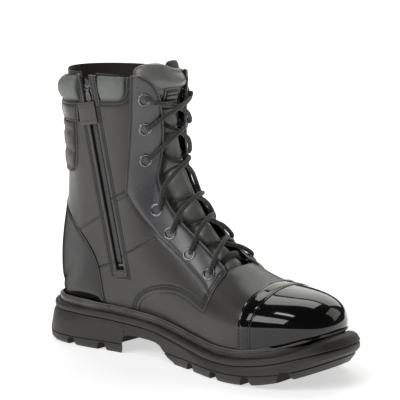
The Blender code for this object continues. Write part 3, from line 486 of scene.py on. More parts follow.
def cloth(name, colour, scale=1.5, sheen=.3):
    """Plain woven cloth from two crossed waves."""
    mat, tree, shader = node_tree(name, colour, .9, sheen=sheen)
    place = place_of(tree)
    waves = [add(tree, "ShaderNodeTexWave", Vector=place, Scale=scale, Distortion=.6, bands_direction=way)
             for way in ("Z", "DIAGONAL")]
    weave = maths(tree, "MULTIPLY", *[wave.outputs["Fac"] for wave in waves])
    cloud = noise(tree, place, .12)
    base = mixed(tree, weave, shade(colour, .5), shade(colour, 1.3))
    base = mixed(tree, remap(tree, cloud, .3, .7, 0, .35), base, shade(colour, .7))
    tree.links.new(base, shader.inputs["Base Color"])
    bumped(tree, shader, (weave, .5, .25))
    return mat


def rubber(name, colour, roughness=.5, grain=.3):
    """Moulded rubber: fine mould texture, dusty patches."""
    mat, tree, shader = node_tree(name, colour, roughness)
    place = place_of(tree)
    fine = noise(tree, place, 1.9, 5.0, .7)
    cloud = noise(tree, place, .05, 4.0, .6)
    base = mixed(tree, remap(tree, cloud, .35, .7), shade(colour, .8), shade(colour, 1.2))
    base = mixed(tree, remap(tree, fine, .5, .75, 0, .35), base, shade(colour, 1.7))
    tree.links.new(base, shader.inputs["Base Color"])
    tree.links.new(remap(tree, cloud, .3, .7, roughness - .06, roughness + .1), shader.inputs["Roughness"])
    bumped(tree, shader, (fine, grain, .06))
    return mat


def metal(name, colour, roughness=.28, metallic=1.0, coat=0.0):
    """Smooth metal or hard plastic with fine lengthwise scratches."""
    mat, tree, shader = node_tree(name, colour, roughness, metallic, coat)
    place = place_of(tree)
    scratch = noise(tree, place_of(tree, (1, 1, 6)), .8, 4.0, .7)
    cloud = noise(tree, place, .4)
    tree.links.new(remap(tree, cloud, .3, .7, roughness - .06, roughness + .1), shader.inputs["Roughness"])
    base = mixed(tree, remap(tree, scratch, .45, .75), colour, shade(colour, 1.4, .01))
    tree.links.new(base, shader.inputs["Base Color"])
    bumped(tree, shader, (scratch, .1, .03))
    return mat


def braid(name, colour, around=4.0, along=.55):
    """Round braided cord: crossed strands that follow the cord's own coordinates."""
    mat, tree, shader = node_tree(name, colour, .8, sheen=.35)
    uv = tree.nodes.new("ShaderNodeTexCoord").outputs["UV"]
    strands = []
    for turn in (1, -1):
        twist = add(tree, "ShaderNodeMapping", Vector=uv, Scale=(around, turn * along, 1))
        axes = add(tree, "ShaderNodeSeparateXYZ", Vector=twist.outputs[0])
        run = maths(tree, "ADD", axes.outputs[0], axes.outputs[1])
        strands.append(maths(tree, "SINE", maths(tree, "MULTIPLY", run, 2 * math.pi)))
    weave = remap(tree, maths(tree, "MULTIPLY", strands[0], strands[1]), -1, 1)
    fuzz = noise(tree, place_of(tree), 1.8, 4.0, .7)
    base = mixed(tree, weave, shade(colour, .42), shade(colour, 1.35))
    base = mixed(tree, remap(tree, fuzz, .45, .8, 0, .4), base, shade(colour, 1.7))
    tree.links.new(base, shader.inputs["Base Color"])
    bumped(tree, shader, (weave, .8, .4), (fuzz, .25, .15))
    return mat


LEATHER = leather("smooth_leather", (.042, .040, .0375), roughness=.39, coat=.2)
# The facings' black leather is made lighter and bluer: painted light for the highlights along them
FACING_PAINTED_LIGHT = leather("facing_leather_painted_light", (.066, .065, .070), roughness=.30, coat=.5)
SOFT = leather("soft_leather", (.165, .178, .160), roughness=.55, grain=1.3, coat=.03, edge=1.1)
# The tongue's colour is raised to make up for the shade between the facings: painted light
TONGUE_PAINTED_LIGHT = leather("tongue_leather_painted_light", (.17, .17, .16), roughness=.36, grain=1.0, coat=.3, edge=1.2)
PATENT = patent("patent_leather")
COUNTER_PATENT = patent("counter_gloss", 1.0, .12, soft_edge=True)
LINING_CLOTH = cloth("lining_cloth", (.066, .051, .045), sheen=.3)
RIBS = leather("rib_leather", (.062, .058, .044), roughness=.5, grain=1.2, coat=.05, edge=1.1)
# Black zip tape, made darker still: its own colour and painted shade beside the teeth
TAPE_WITH_SHADE = cloth("zip_tape_cloth_with_shade", (.012, .0115, .012), scale=2.4, sheen=.1)
FOAM = cloth("footbed_cloth", (.05, .05, .055), scale=.9)
LABEL = cloth("label_cloth", (.030, .029, .028), scale=2.2, sheen=.5)
LABEL_THREAD = cloth("label_thread", (.42, .42, .40), scale=3.0)
# Near-black rubber for the lug channels: painted shade inside them
LUG_SHADE_RUBBER = rubber("groove_rubber", (.010, .0085, .006), roughness=.8)
RUBBER = rubber("sole_rubber", (.034, .032, .030))
# The welt strip is made far lighter than the sole's rubber: a painted highlight along the bead's top
WELT_PAINTED_HIGHLIGHT = rubber("welt_rubber_painted_highlight", (.15, .142, .136), roughness=.3, grain=.08)
LACE = braid("lace_cord", (.030, .0285, .024), 475.0, 4.0)
THREAD = braid("stitch_thread", (.016, .0155, .015))
ENAMEL = metal("eyelet_enamel", (.16, .16, .165), .2, .75, coat=1.0)
GUNMETAL = metal("zip_gunmetal", (.1, .1, .104), .2, .9)
COIL = metal("zip_coil_nylon", (.085, .082, .086), .36, 0.0, coat=.2)
TIP = metal("aglet_plastic", (.025, .025, .025), .25, 0.0, coat=.5)
STEEL = metal("spring_steel", (.5, .5, .52), .35)
BOARD = cloth("fibreboard", (.32, .22, .13), scale=.6, sheen=0.0)
STIFF = cloth("stiffener_cloth", (.45, .43, .38), scale=.8, sheen=0.0)


# ------------------------------------------------------------------ seam lines, as signed fields

VAMP_SEAM = [(-46, 30), (-43.5, 38), (-39.5, 45.5), (-34, 51), (-27, 55.5), (-19.5, 58.5), (-11, 60.6),
             (-2, 61.3), (6, 60.6), (14.5, 58.2), (22, 55.2), (28.5, 52.3), (34, 50.5), (38, 60), (41.5, 70),
             (45, 80), (51, 85)]
COUNTER_EDGE = [(-137, 131), (-125.5, 121.6), (-113, 112), (-102, 102), (-95, 95), (-89.4, 88),
                (-85.5, 81.5), (-82.8, 74.6), (-80.3, 62), (-78, 45), (-77, 35)]
ANKLE_SEAM = [(-101, 102), (-75, 117), (-66, 127), (-50, 135), (-35, 144), (-20, 151)]
LOWER_SEAM = [(-95, 65), (-79, 72), (-66.5, 76.5), (-51.7, 86), (-22, 103.4), (-10, 110)]
THROAT = [(7, .20), (7.7, .20), (8.2, .18), (10.4, .18), (11.6, .16), (12.6, .14), (14, .10),
          (17.5, .10), (18.4, .112), (19.1, .13), (19.6, .155), (20, .20), (20.4, .24), (21, .26)]
FACING_REAR = [(-44.5, 245), (-45, 236), (-46, 202), (-48, 169), (-49.5, 141), (-44.5, 131), (-35.6, 118.5),
               (-22, 104.5), (3.5, 88), (26, 73), (36, 64), (46, 55)]
THROAT_START = 7.5
PER_STATION = 22.0
ZIP_SLOT, SLOT_END_Z = 4.5, 72.0
COLLAR_Z, BAND_Z = 217.0, 197.0
CAP_X, STRIP_X = 88.0, 75.8


def signed(line, x, z):
    """Distance from an open line in side view, positive on its left."""
    pts = np.array(line, float)
    first, last = pts[0] - pts[1], pts[-1] - pts[-2]
    pts[0] = pts[0] + first / np.linalg.norm(first) * 200
    pts[-1] = pts[-1] + last / np.linalg.norm(last) * 200
    best, sign = np.full(len(x), 1e9), np.ones(len(x))
    for a, b in zip(pts[:-1], pts[1:]):
        d = b - a
        t = np.clip(((x - a[0]) * d[0] + (z - a[1]) * d[1]) / (d @ d), 0, 1)
        dist = np.hypot(x - a[0] - t * d[0], z - a[1] - t * d[1])
        left = d[0] * (z - a[1]) - d[1] * (x - a[0])
        closer = dist < best - 1e-9
        sign = np.where(closer, np.where(left >= 0, 1.0, -1.0), sign)
        best = np.minimum(dist, best)
    return best * sign


def smooth_line(line):
    """A seam line drawn as a curve through its points."""
    at = arc_length(np.array(line, float))
    return hermite(at, line, np.linspace(0, at[-1], 60))


def share(table, s):
    """A share of the girth from a table over the stations."""
    table = np.array(table, float)
    return hermite(table[:, 0], table[:, 1], np.clip(s, 7, 21))


def throat_half(s):
    """Half width of the gap between the facings."""
    return float(share(THROAT, s)) * float(side_length(s, 1))


def collar_seam_z(x):
    """The seam under the collar pads."""
    return COLLAR_Z + .05 * (x + 90)


# A vertex row holds point (0 to 2), normal (3 to 5), station (6), arc distance (7) and these fields
FIRST_FIELD = 8
FIELD_NAMES = ["medial", "cap", "strip", "vamp", "counter", "shaft", "upper_quarter", "throat",
               "above_throat", "behind_facing", "collar", "band", "zip_front", "zip_rear", "top"]


def field_values(points, s, a):
    """Signed distances, in millimetres, that the panels' edges and seams follow."""
    x, y, z = points.T
    lengths = side_length(s, 1)
    return np.stack([
        -y,
        x - (CAP_X + 5 * smooth_step(45, 72, z)),
        x - (STRIP_X + 3 * smooth_step(60, 75, z)),
        -signed(smooth_line(VAMP_SEAM), x, z),
        -signed(smooth_line(COUNTER_EDGE), x, z),
        signed(ANKLE_SEAM, x, z),
        signed(LOWER_SEAM, x, z),
        share(THROAT, s) * lengths - np.abs(a),
        (s - THROAT_START) * PER_STATION,
        -signed(FACING_REAR, x, z),
        z - collar_seam_z(x),
        z - BAND_Z,
        (x - zip_x(z)) - ZIP_SLOT,
        -(x - zip_x(z)) - ZIP_SLOT,
        238 - z,
    ], 1)


def column(name):
    return lambda rows: rows[:, FIRST_FIELD + FIELD_NAMES.index(name)]


def x_of(rows):
    return rows[:, 0]


def z_of(rows):
    return rows[:, 2]


def rounded_corner(first, second, radius):
    """The smaller of two edge distances, with the corner between them rounded."""
    both = (first < radius) & (second < radius)
    return np.where(both, radius - np.hypot(radius - first, radius - second), np.minimum(first, second))


class Patch:
    """Part of the base surface: vertex rows and polygons."""

    def __init__(self, rows, quads, loose=()):
        self.rows, self.quads, self.loose = rows, quads, list(loose)

    def value(self, rule):
        """A field by name, or any function of the rows, with an optional sign and offset."""
        name, sign, offset = rule
        return sign * (name if callable(name) else column(name))(self.rows) + offset

    def split(self, rules, steps, both=True):
        """New edges along every rule, at each of the steps inside it."""
        patch = self
        for rule in rules:
            for step in steps:
                patch = patch.cut(patch.value(rule) - step, both)
        return patch

    def cut(self, value, both=False):
        """Splits polygons where value changes sign, and keeps the positive side, or both."""
        inside = value >= 0
        count = inside[self.quads].sum(1)
        keep = self.quads[(count == 4) | ((count == 0) & both)]
        crossing = [tuple(q) for q in self.quads[(count > 0) & (count < 4)]]
        loose, new_rows, made = [], [], {}
        total = len(self.rows)
        for poly in crossing + self.loose:
            flags = [inside[i] if i < total else True for i in poly]
            if all(flags) or (both and not any(flags)):
                loose.append(poly)
                continue
            if not any(flags):
                continue
            halves = ([], [])
            for k, i in enumerate(poly):
                j = poly[(k + 1) % len(poly)]
                halves[0 if inside[i] else 1].append(i)
                if inside[i] != inside[j]:
                    key = (min(i, j), max(i, j))
                    if key not in made:
                        t = value[key[0]] / (value[key[0]] - value[key[1]])
                        new_rows.append(self.rows[key[0]] * (1 - t) + self.rows[key[1]] * t)
                        made[key] = total + len(new_rows) - 1
                    halves[0].append(made[key])
                    halves[1].append(made[key])
            loose += [tuple(dict.fromkeys(half)) for half in halves[:2 if both else 1] if len(set(half)) > 2]
        rows = np.vstack([self.rows, np.array(new_rows)]) if new_rows else self.rows
        return Patch(rows, keep, loose)

    def polys(self):
        return [tuple(q) for q in self.quads] + self.loose

    def packed(self):
        """The same patch with only the rows in use, and every polygon loose."""
        polys = self.polys()
        used = sorted({i for poly in polys for i in poly})
        number = {i: k for k, i in enumerate(used)}
        loose = [tuple(number[i] for i in poly) for poly in polys]
        return Patch(self.rows[used], np.zeros((0, 4), int), loose)


def base_patch():
    s = np.repeat(S_ROWS, 2 * COLS + 1)
    share_of = np.tile(np.abs(np.arange(-COLS, COLS + 1)) / COLS, ROWS + 1)
    side = np.tile(np.where(np.arange(-COLS, COLS + 1) < 0, 0, 1), ROWS + 1)
    length = SIDE_LENGTH[np.repeat(np.arange(ROWS + 1), 2 * COLS + 1), side]
    a = np.where(side == 0, -1, 1) * share_of * length
    points, normals = GRID_P.reshape(-1, 3), GRID_N.reshape(-1, 3)
    rows = np.hstack([points, normals, s[:, None], a[:, None], field_values(points, s, a)])
    quads = np.array(grid_faces(ROWS + 1, 2 * COLS + 1))
    return Patch(rows, quads)


BASE = base_patch()
STITCH_RUNS = {"boot": []}


def contour(patch, value, keep):
    """Polylines of vertex rows where value is zero, kept where keep is positive."""
    segments, points, index = [], [], {}
    for poly in patch.polys():
        ends = []
        for k, i in enumerate(poly):
            j = poly[(k + 1) % len(poly)]
            if (value[i] >= 0) != (value[j] >= 0):
                key = (min(i, j), max(i, j))
                if key not in index:
                    t = value[key[0]] / (value[key[0]] - value[key[1]])
                    if keep[key[0]] * (1 - t) + keep[key[1]] * t < 0:
                        index[key] = -1
                    else:
                        index[key] = len(points)
                        points.append(patch.rows[key[0]] * (1 - t) + patch.rows[key[1]] * t)
                ends.append(index[key])
        if len(ends) == 2 and min(ends) >= 0 and ends[0] != ends[1]:
            segments.append(tuple(ends))
    joined = {}
    for i, j in segments:
        joined.setdefault(i, []).append(j)
        joined.setdefault(j, []).append(i)
    lines, seen = [], set()
    for start in sorted(joined, key=lambda i: (len(joined[i]) != 1, i)):
        if start in seen:
            continue
        line, here = [], start
        while here is not None:
            seen.add(here)
            line.append(here)
            here = next((j for j in joined[here] if j not in seen), None)
        if len(line) > 4:
            lines.append(np.array([points[i] for i in line]))
    return lines


ROUND = .55
STITCH_PITCH = 2.7
SEAM_DEPTH, SEAM_HALF, STITCH_END_GAP = .45, .75, 1.6
FAR = 9.0
NO_LIMIT = 99.0


def panel(name, mat, slot, rules, height, thickness=1.6, edges=(), stitches=(), replaces=()):
    """A leather panel cut from the base surface.

    rules: (field, sign, offset) limits. edges: those whose rim shows, rolled over. stitches: (field,
    sign, [distances]) rows of sewing."""
    seams = [((field, sign, -distance), (field, sign)) for field, sign, distances in stitches
             for distance in distances]
    patch = BASE.split(rules, (0,), False).split(edges, (.12, .35, ROUND + .1))
    patch = patch.split([rule for rule, _ in seams], (-SEAM_HALF, 0, SEAM_HALF)).packed()
    rows, polys = patch.rows, patch.loose
    rim, seam = np.full(len(rows), FAR), np.zeros(len(rows))
    for rule in edges:
        rim = np.minimum(rim, np.maximum(patch.value(rule), 0))
    # seam peaks on each stitch row: it sinks the stitching's channel, and its seam attribute paints shade
    # along that channel
    for rule, _ in seams:
        seam = np.maximum(seam, np.exp(-(patch.value(rule) / .8)**2))
    drop = np.where(rim < ROUND, ROUND - np.sqrt(np.maximum(ROUND**2 - (ROUND - rim)**2, 0)), 0)
    face = height(rows) if callable(height) else np.full(len(rows), float(height))
    top = face - drop - SEAM_DEPTH * seam
    outer = rows[:, :3] + rows[:, 3:6] * top[:, None]
    inner = rows[:, :3] + rows[:, 3:6] * (top + drop - thickness)[:, None]
    mesh = two_skins(name, outer, inner, polys, {"edge": np.exp(-(rim / .8)**2), "seam": seam})
    new = link(name, mesh, mat, slot, sharp=50)
    if replaces:
        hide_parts(*replaces)
    face = Patch(np.column_stack([rows, top]), patch.quads, polys)
    for rule, line in seams:
        keep = np.full(len(rows), FAR)
        for limit in rules:
            if limit[:2] != line:
                keep = np.minimum(keep, patch.value(limit) - STITCH_END_GAP)
        STITCH_RUNS["boot"].extend(contour(face, patch.value(rule), keep))
    return new


def sew(body, runs, name="stitching", pitch=STITCH_PITCH, length=1.9, radius=.36):
    """Every stitch on a body in one piece: short rounded threads sunk in their grooves."""
    verts, faces = [], []
    sides, rings = 6, ((-1, .25), (-.72, .85), (-.3, 1), (.3, 1), (.72, .85), (1, .25))
    for run in runs:
        at = arc_length(run[:, :3])
        if at[-1] < pitch * 2:
            continue
        count = int(at[-1] / pitch)
        for k in range(count):
            centre = (k + .5) * at[-1] / count
            rows = np.stack([np.interp([centre - length / 2, centre, centre + length / 2], at, run[:, c])
                             for c in range(run.shape[1])], 1)
            ends = rows[:, :3] + rows[:, 3:6] * (rows[:, -1] + .16)[:, None]
            along = ends[2] - ends[0]
            size = np.linalg.norm(along)
            if size < .5:
                continue
            along /= size
            out = rows[1, 3:6] - along * (rows[1, 3:6] @ along)
            out /= np.linalg.norm(out)
            side = np.cross(along, out)
            start = len(verts)
            for t, r in rings:
                middle = ends[1] + along * t * size / 2 - out * (.18 * t * t)
                for q in range(sides):
                    angle = 2 * math.pi * q / sides
                    verts.append(middle + radius * r * (side * math.cos(angle) + out * math.sin(angle)))
            faces += grid_faces(len(rings), sides, start, closed_cols=True)
            faces += end_faces(len(rings), sides, start)
    return link(name + "_" + body, mesh_of(name, verts, faces), THREAD, "lace", body)


# ------------------------------------------------------------------ the leather panels

# Heights of the panels' faces over the base surface
QUARTER, SHAFT, FACE, COUNTER, CAP, STRIP = .45, .75, 1.25, 1.3, .75, 1.35
LINING_HEIGHT = -4.8


def vamp_height(rows):
    """Lies lower where the quarter, facing and strip lap over it."""
    lap = np.minimum(column("vamp")(rows), -column("strip")(rows))
    return -.1 - .45 * smooth_step(1.5, -1, lap)


def under_facing(base):
    """Height of a panel that steps down where the facing lies over it."""
    return lambda rows: base - .55 * smooth_step(.45, -.4, column("behind_facing")(rows))


def facing_front(rows):
    """Distance inside the facing's front and bottom edges, with a round corner between them."""
    return rounded_corner(-column("throat")(rows), -column("vamp")(rows), 8.0)


def facing_height(rows):
    """Flush with the leather behind it, and thicker towards the throat."""
    return .75 + (FACE - .65) * smooth_step(.5, 5.0, -column("behind_facing")(rows))


def cap_height(rows):
    """The toe cap's face, which stands steep down to the welt round the tip."""
    above = rows[:, 2] - welt_z(rows[:, 0])
    return CAP + 1.5 * smooth_step(15.0, 2.0, above) * smooth_step(96, 138, rows[:, 0])


def counter_height(rows):
    """The counter's face, drawn in where it meets the welt."""
    above = rows[:, 2] - welt_z(rows[:, 0])
    return COUNTER - 3.2 * smooth_step(13.0, 0, above)**1.2 * smooth_step(0, 14, column("counter")(rows))


def slot_field(rows):
    """Distance outside the zip's slot, which ends square at its bottom; large on the lateral side."""
    far = np.where(rows[:, 1] < 0, 0, NO_LIMIT)
    below = SLOT_END_Z - rows[:, 2]
    return far + np.maximum.reduce([column("zip_front")(rows), column("zip_rear")(rows), below])


LAP = 3.0           # how far one panel runs on under the next
COUNTER_LAP = 2.5
ZIP_SEWING = [3.6, 5.6]
FOOT_SEWING = [3.2, 5.5]
COLLAR_SEWING = [1.4, 4.2]
SHAFT_SEWING = [1.7, 6.0]


def upper():
    """Every leather panel below the collar, with its sewing."""
    panel("vamp_leather", LEATHER, "leather", [("vamp", 1, LAP), ("strip", -1, LAP)], vamp_height,
          replaces=["vamp"])
    panel("toe_cap_patent", PATENT, "patent_leather", [("cap", 1, 2.5)], cap_height, replaces=["toe_cap"])
    strip = [("strip", 1, 0), ("cap", -1, 0)]
    panel("toe_strip_patent", PATENT, "patent_leather", strip, STRIP, edges=strip,
          stitches=[("strip", 1, [1.9]), ("cap", -1, [1.9])], replaces=["toe_cap_strip"])
    panel("counter_patent", COUNTER_PATENT, "patent_leather", [("counter", 1, 0)], counter_height,
          edges=[("counter", 1, 0)], stitches=[("counter", 1, [2.2])], replaces=["counter_cover"])
    for side, label, panels in ((1, "medial", medial_panels), (-1, "lateral", lateral_panels)):
        half = ("medial", side, 0)
        panels(half, [half, ("vamp", -1, 0), ("counter", -1, COUNTER_LAP), ("shaft", -1, COUNTER_LAP),
                      ("behind_facing", 1, LAP)])
        facings(half, label)


def medial_panels(half, quarter):
    """The zip's side: a quarter in three pieces, and the shaft before and behind the zip."""
    before, behind, round_slot = ("zip_front", 1, 0), ("zip_rear", 1, 0), (slot_field, 1, 0)
    before_sewing, behind_sewing = ("zip_front", 1, ZIP_SEWING), ("zip_rear", 1, ZIP_SEWING)
    upper_line, shaft_line, collar_line = ("upper_quarter", 1, 0), ("shaft", 1, 0), (collar_field, -1, .5)
    behind_counter = ("counter", -1, COUNTER_LAP)
    panel("quarter_low_medial", LEATHER, "leather", quarter + [("upper_quarter", -1, 0), round_slot],
          under_facing(QUARTER), edges=[("vamp", -1, 0), round_slot],
          stitches=[("vamp", -1, FOOT_SEWING), (slot_field, 1, ZIP_SEWING)],
          replaces=["quarter_medial_lower"])
    panel("quarter_top_medial", LEATHER, "leather", quarter + [upper_line, before], under_facing(QUARTER),
          edges=[upper_line, before], stitches=[("upper_quarter", 1, [1.6]), before_sewing],
          replaces=["quarter_medial_upper"])
    panel("quarter_rear_medial", LEATHER, "leather",
          [half, behind_counter, ("shaft", -1, COUNTER_LAP), upper_line, behind], QUARTER,
          edges=[upper_line, behind], stitches=[("upper_quarter", 1, [1.6]), behind_sewing],
          replaces=["quarter_medial_rear"])
    panel("shaft_front_medial", LEATHER, "leather",
          [half, shaft_line, collar_line, ("behind_facing", 1, LAP), ("top", 1, 0), before],
          under_facing(SHAFT), edges=[shaft_line, collar_line, before],
          stitches=[("shaft", 1, SHAFT_SEWING), before_sewing, (collar_field, -1, COLLAR_SEWING)],
          replaces=["shaft_medial_front"])
    panel("shaft_rear_medial", LEATHER, "leather",
          [half, shaft_line, behind_counter, ("collar", -1, 2), behind], SHAFT, edges=[shaft_line, behind],
          stitches=[("shaft", 1, SHAFT_SEWING[:1]), behind_sewing], replaces=["shaft_medial_rear"])


def lateral_panels(half, quarter):
    """The side without a zip: one quarter and one shaft panel."""
    shaft_line, collar_line = ("shaft", 1, 0), (collar_field, -1, .5)
    panel("quarter_side_lateral", LEATHER, "leather", quarter, under_facing(QUARTER),
          edges=[("vamp", -1, 0)], stitches=[("vamp", -1, FOOT_SEWING)], replaces=["quarter_lateral"])
    panel("shaft_side_lateral", LEATHER, "leather",
          [half, shaft_line, ("counter", -1, COUNTER_LAP), collar_line, ("behind_facing", 1, LAP),
           ("top", 1, 0)], under_facing(SHAFT), edges=[shaft_line, collar_line],
          stitches=[("shaft", 1, SHAFT_SEWING), (collar_field, -1, COLLAR_SEWING)],
          replaces=["shaft_lateral"])


def facings(half, label):
    """The two lengths of eyelet facing on one side."""
    face = [half, (facing_front, 1, 0), ("behind_facing", -1, 0)]
    sewing = [(facing_front, 1, [2.0]), ("behind_facing", -1, [1.3])]
    top_end, split = ("top", 1, 1.2), ("shaft", -1, 0)
    panel("facing_top_" + label, FACING_PAINTED_LIGHT, "leather", face + [("shaft", 1, 0), top_end], facing_height,
          edges=[(facing_front, 1, 0), top_end], stitches=sewing, replaces=["facing_upper_" + label])
    panel("facing_low_" + label, FACING_PAINTED_LIGHT, "leather", face + [split], facing_height,
          edges=[(facing_front, 1, 0), split], stitches=sewing + [("vamp", -1, [4.6])],
          replaces=["facing_lower_" + label])


# ------------------------------------------------------------------ padded collar, band and heel ribs

LEVELS = np.linspace(150, 249.8, 320)


def level_table():
    """The shaft's points and normals, resampled from even stations to even heights."""
    shaft = S_ROWS >= HEEL_STATION
    z = GRID_P[shaft][:, :, 2]
    return [np.stack([[np.interp(LEVELS, z[:, c], grid[shaft][:, c, k]) for k in range(3)]
                      for c in range(2 * COLS + 1)]).transpose(2, 0, 1) for grid in (GRID_P, GRID_N)]


LEVEL_P, LEVEL_N = level_table()


def at_level(share_of, z, h):
    """Points over the base surface at signed shares of the girth and given heights z."""
    r = np.clip((z - LEVELS[0]) / (LEVELS[1] - LEVELS[0]), 0, len(LEVELS) - 1.001)
    c = np.clip((share_of + 1) * COLS, 0, 2 * COLS - 1e-6)
    r0, c0 = r.astype(int), c.astype(int)
    f, g = (r - r0)[:, None], (c - c0)[:, None]
    point, normal = [((t[r0, c0] * (1 - g) + t[r0, c0 + 1] * g) * (1 - f)
                      + (t[r0 + 1, c0] * (1 - g) + t[r0 + 1, c0 + 1] * g) * f) for t in (LEVEL_P, LEVEL_N)]
    normal /= np.linalg.norm(normal, axis=1)[:, None]
    return point + normal * np.asarray(h)[:, None]


COLLAR_GAP = 2.4


def collar_field(rows):
    """Distance inside the collar pads' lower seam, which turns up beside the facing."""
    return rounded_corner(column("collar")(rows), column("behind_facing")(rows) - COLLAR_GAP, 6.5)


# Outline of the rolled collar: level over the seam (0 to 1 at the rim) and height
ROLL = np.array([(.0, .7), (.05, 2.6), (.18, 4.6), (.40, 5.6), (.64, 5.5), (.84, 4.4), (.965, 2.2), (1.0, -.6),
                 (.965, -3.4), (.82, -5.4), (.6, -6.2), (.3, -6.3)])
ROLL_TALL = 22
ROLL_END_Z = 249.6
LINED_FROM = .60
PAD_SKIN = 1.3


def rim_z(x):
    """The collar's top line, which dips towards the back."""
    return 237.2 - 5.5 * smooth_step(-80, -138, x)


def roll_at(t):
    """Level share, height and outward direction at shares t of the roll's outline."""
    dense = hermite(np.arange(len(ROLL)), ROLL * (ROLL_TALL, 1), np.linspace(0, len(ROLL) - 1, 400))
    run = np.gradient(dense, axis=0)
    run /= np.linalg.norm(run, axis=1)[:, None]
    at = arc_length(dense) / arc_length(dense)[-1]
    out = [np.interp(t, at, dense[:, 0] / ROLL_TALL), np.interp(t, at, dense[:, 1])]
    return out + [np.interp(t, at, -run[:, 1]), np.interp(t, at, run[:, 0])]


def rolled(rows, top, ends, puff, lump):
    """Rows over the collar seam wrapped round the rim; top moves them along the roll's own normal."""
    x, z = rows[:, 0], rows[:, 2]
    lengths = np.where(rows[:, 7] < 0, side_length(rows[:, 6], -1), side_length(rows[:, 6], 1))
    share_of = rows[:, 7] / lengths
    seam = collar_seam_z(x)
    t = np.clip((z - seam) / (ROLL_END_Z - seam), 0, 1)
    level_share, h, away_z, away_h = roll_at(t)
    ease = .3 + .7 * quarter_round(ends, 6.0)
    h = -.6 + (h + .6) * ease * np.where(h > 0, puff, 1)
    h = h + lump(rows) * np.clip(h, 0, 3) / 3
    rim = rim_z(x) - 1.4 * (1 - ease)
    level_z = seam + level_share * (rim - seam)
    return at_level(share_of, level_z - away_z * top, h + away_h * top)


def pad(name, rules, ends, replaces, puff=1.0):
    """One collar pad: soft leather over foam, seamed at its base and rolled over the rim."""
    patch = BASE.split(rules, (0,), False).split(rules, (.15, .5, 1.1, 2.2)).packed()
    rows = patch.rows
    end = np.full(len(rows), NO_LIMIT)
    for rule in ends:
        end = np.minimum(end, patch.value(rule))
    base = np.maximum(collar_field(rows), 0)
    dip = np.minimum(base, np.maximum(end, 0))

    def lump(r):
        """Slow wrinkles in the leather, away from the seams."""
        along, z = r[:, 7], r[:, 2]
        wrinkle = .3 * np.sin(along * .31 + .8 * np.sin(z * .12)) + .16 * np.sin(along * .83 + z * .21)
        return wrinkle * smooth_step(2, 10, dip)

    tuck = -2.6 * (1 - smooth_step(0, 2.0, dip)) * (rows[:, 2] < 234)
    outer, inner = [rolled(rows, tuck - depth, np.maximum(end, 0), puff, lump) for depth in (0, PAD_SKIN)]
    # painted shade: the seam attribute darkens the pad's sunk edge, standing in for the shade in the gap round
    # it
    seam = np.exp(-(dip / 1.7)**2)
    seam_z = collar_seam_z(rows[:, 0])
    over_rim = (rows[:, 2] - seam_z) / (ROLL_END_Z - seam_z) > LINED_FROM
    mesh = two_skins(name, outer, inner, patch.loose,
                     {"edge": np.zeros(len(rows)), "seam": seam, "inside": over_rim.astype(float)})
    new = link(name, mesh, SOFT, "soft_leather", sharp=60)
    mesh.materials.append(LINING_CLOTH)
    turned_in = np.zeros(len(mesh.vertices), np.float32)
    mesh.attributes["inside"].data.foreach_get("value", turned_in)
    for poly in mesh.polygons:
        poly.material_index = int(min(turned_in[i] for i in poly.vertices) > .9)
    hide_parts(*replaces)


REAR_PAD = -92.6
BAND_FRONT = -95.0
STRIP_FRONT_Z, STRIP_REAR_Z = 213, 214
RIBS_FRONT, RIBS_LOW_Z, RIBS_HIGH_Z = -98.0, 151.5, 197.2
RIB_VALLEYS = (150.0, 156.5, 172.0, 189.5, 198.5)


def band_height(rows):
    """The band's face, fuller round the back."""
    inside = np.minimum.reduce([column("band")(rows), -column("collar")(rows), BAND_FRONT - rows[:, 0] + 2])
    round_back = smooth_step(-112, -134, rows[:, 0])
    return 1.3 + (1.5 + 2.2 * round_back) * quarter_round(inside, 9)


def ribs_field(rows):
    """Distance inside the rib pad's outline: rounded at the bottom, straight at its front."""
    x, z = rows[:, 0], rows[:, 2]
    front = RIBS_FRONT - x - 2.5 * smooth_step(185, 150, z)
    return rounded_corner(front, z - RIBS_LOW_Z, 12.0)


def ribs_height(rows):
    """Three padded rolls with narrow valleys between them."""
    z = rows[:, 2]
    nearest = np.min([np.abs(z - v) for v in RIB_VALLEYS], axis=0)
    inside = np.maximum(ribs_field(rows), 0)
    crown = quarter_round(nearest, 5.5)
    side = quarter_round(inside, 6.0)
    return .9 + 2.9 * crown * side


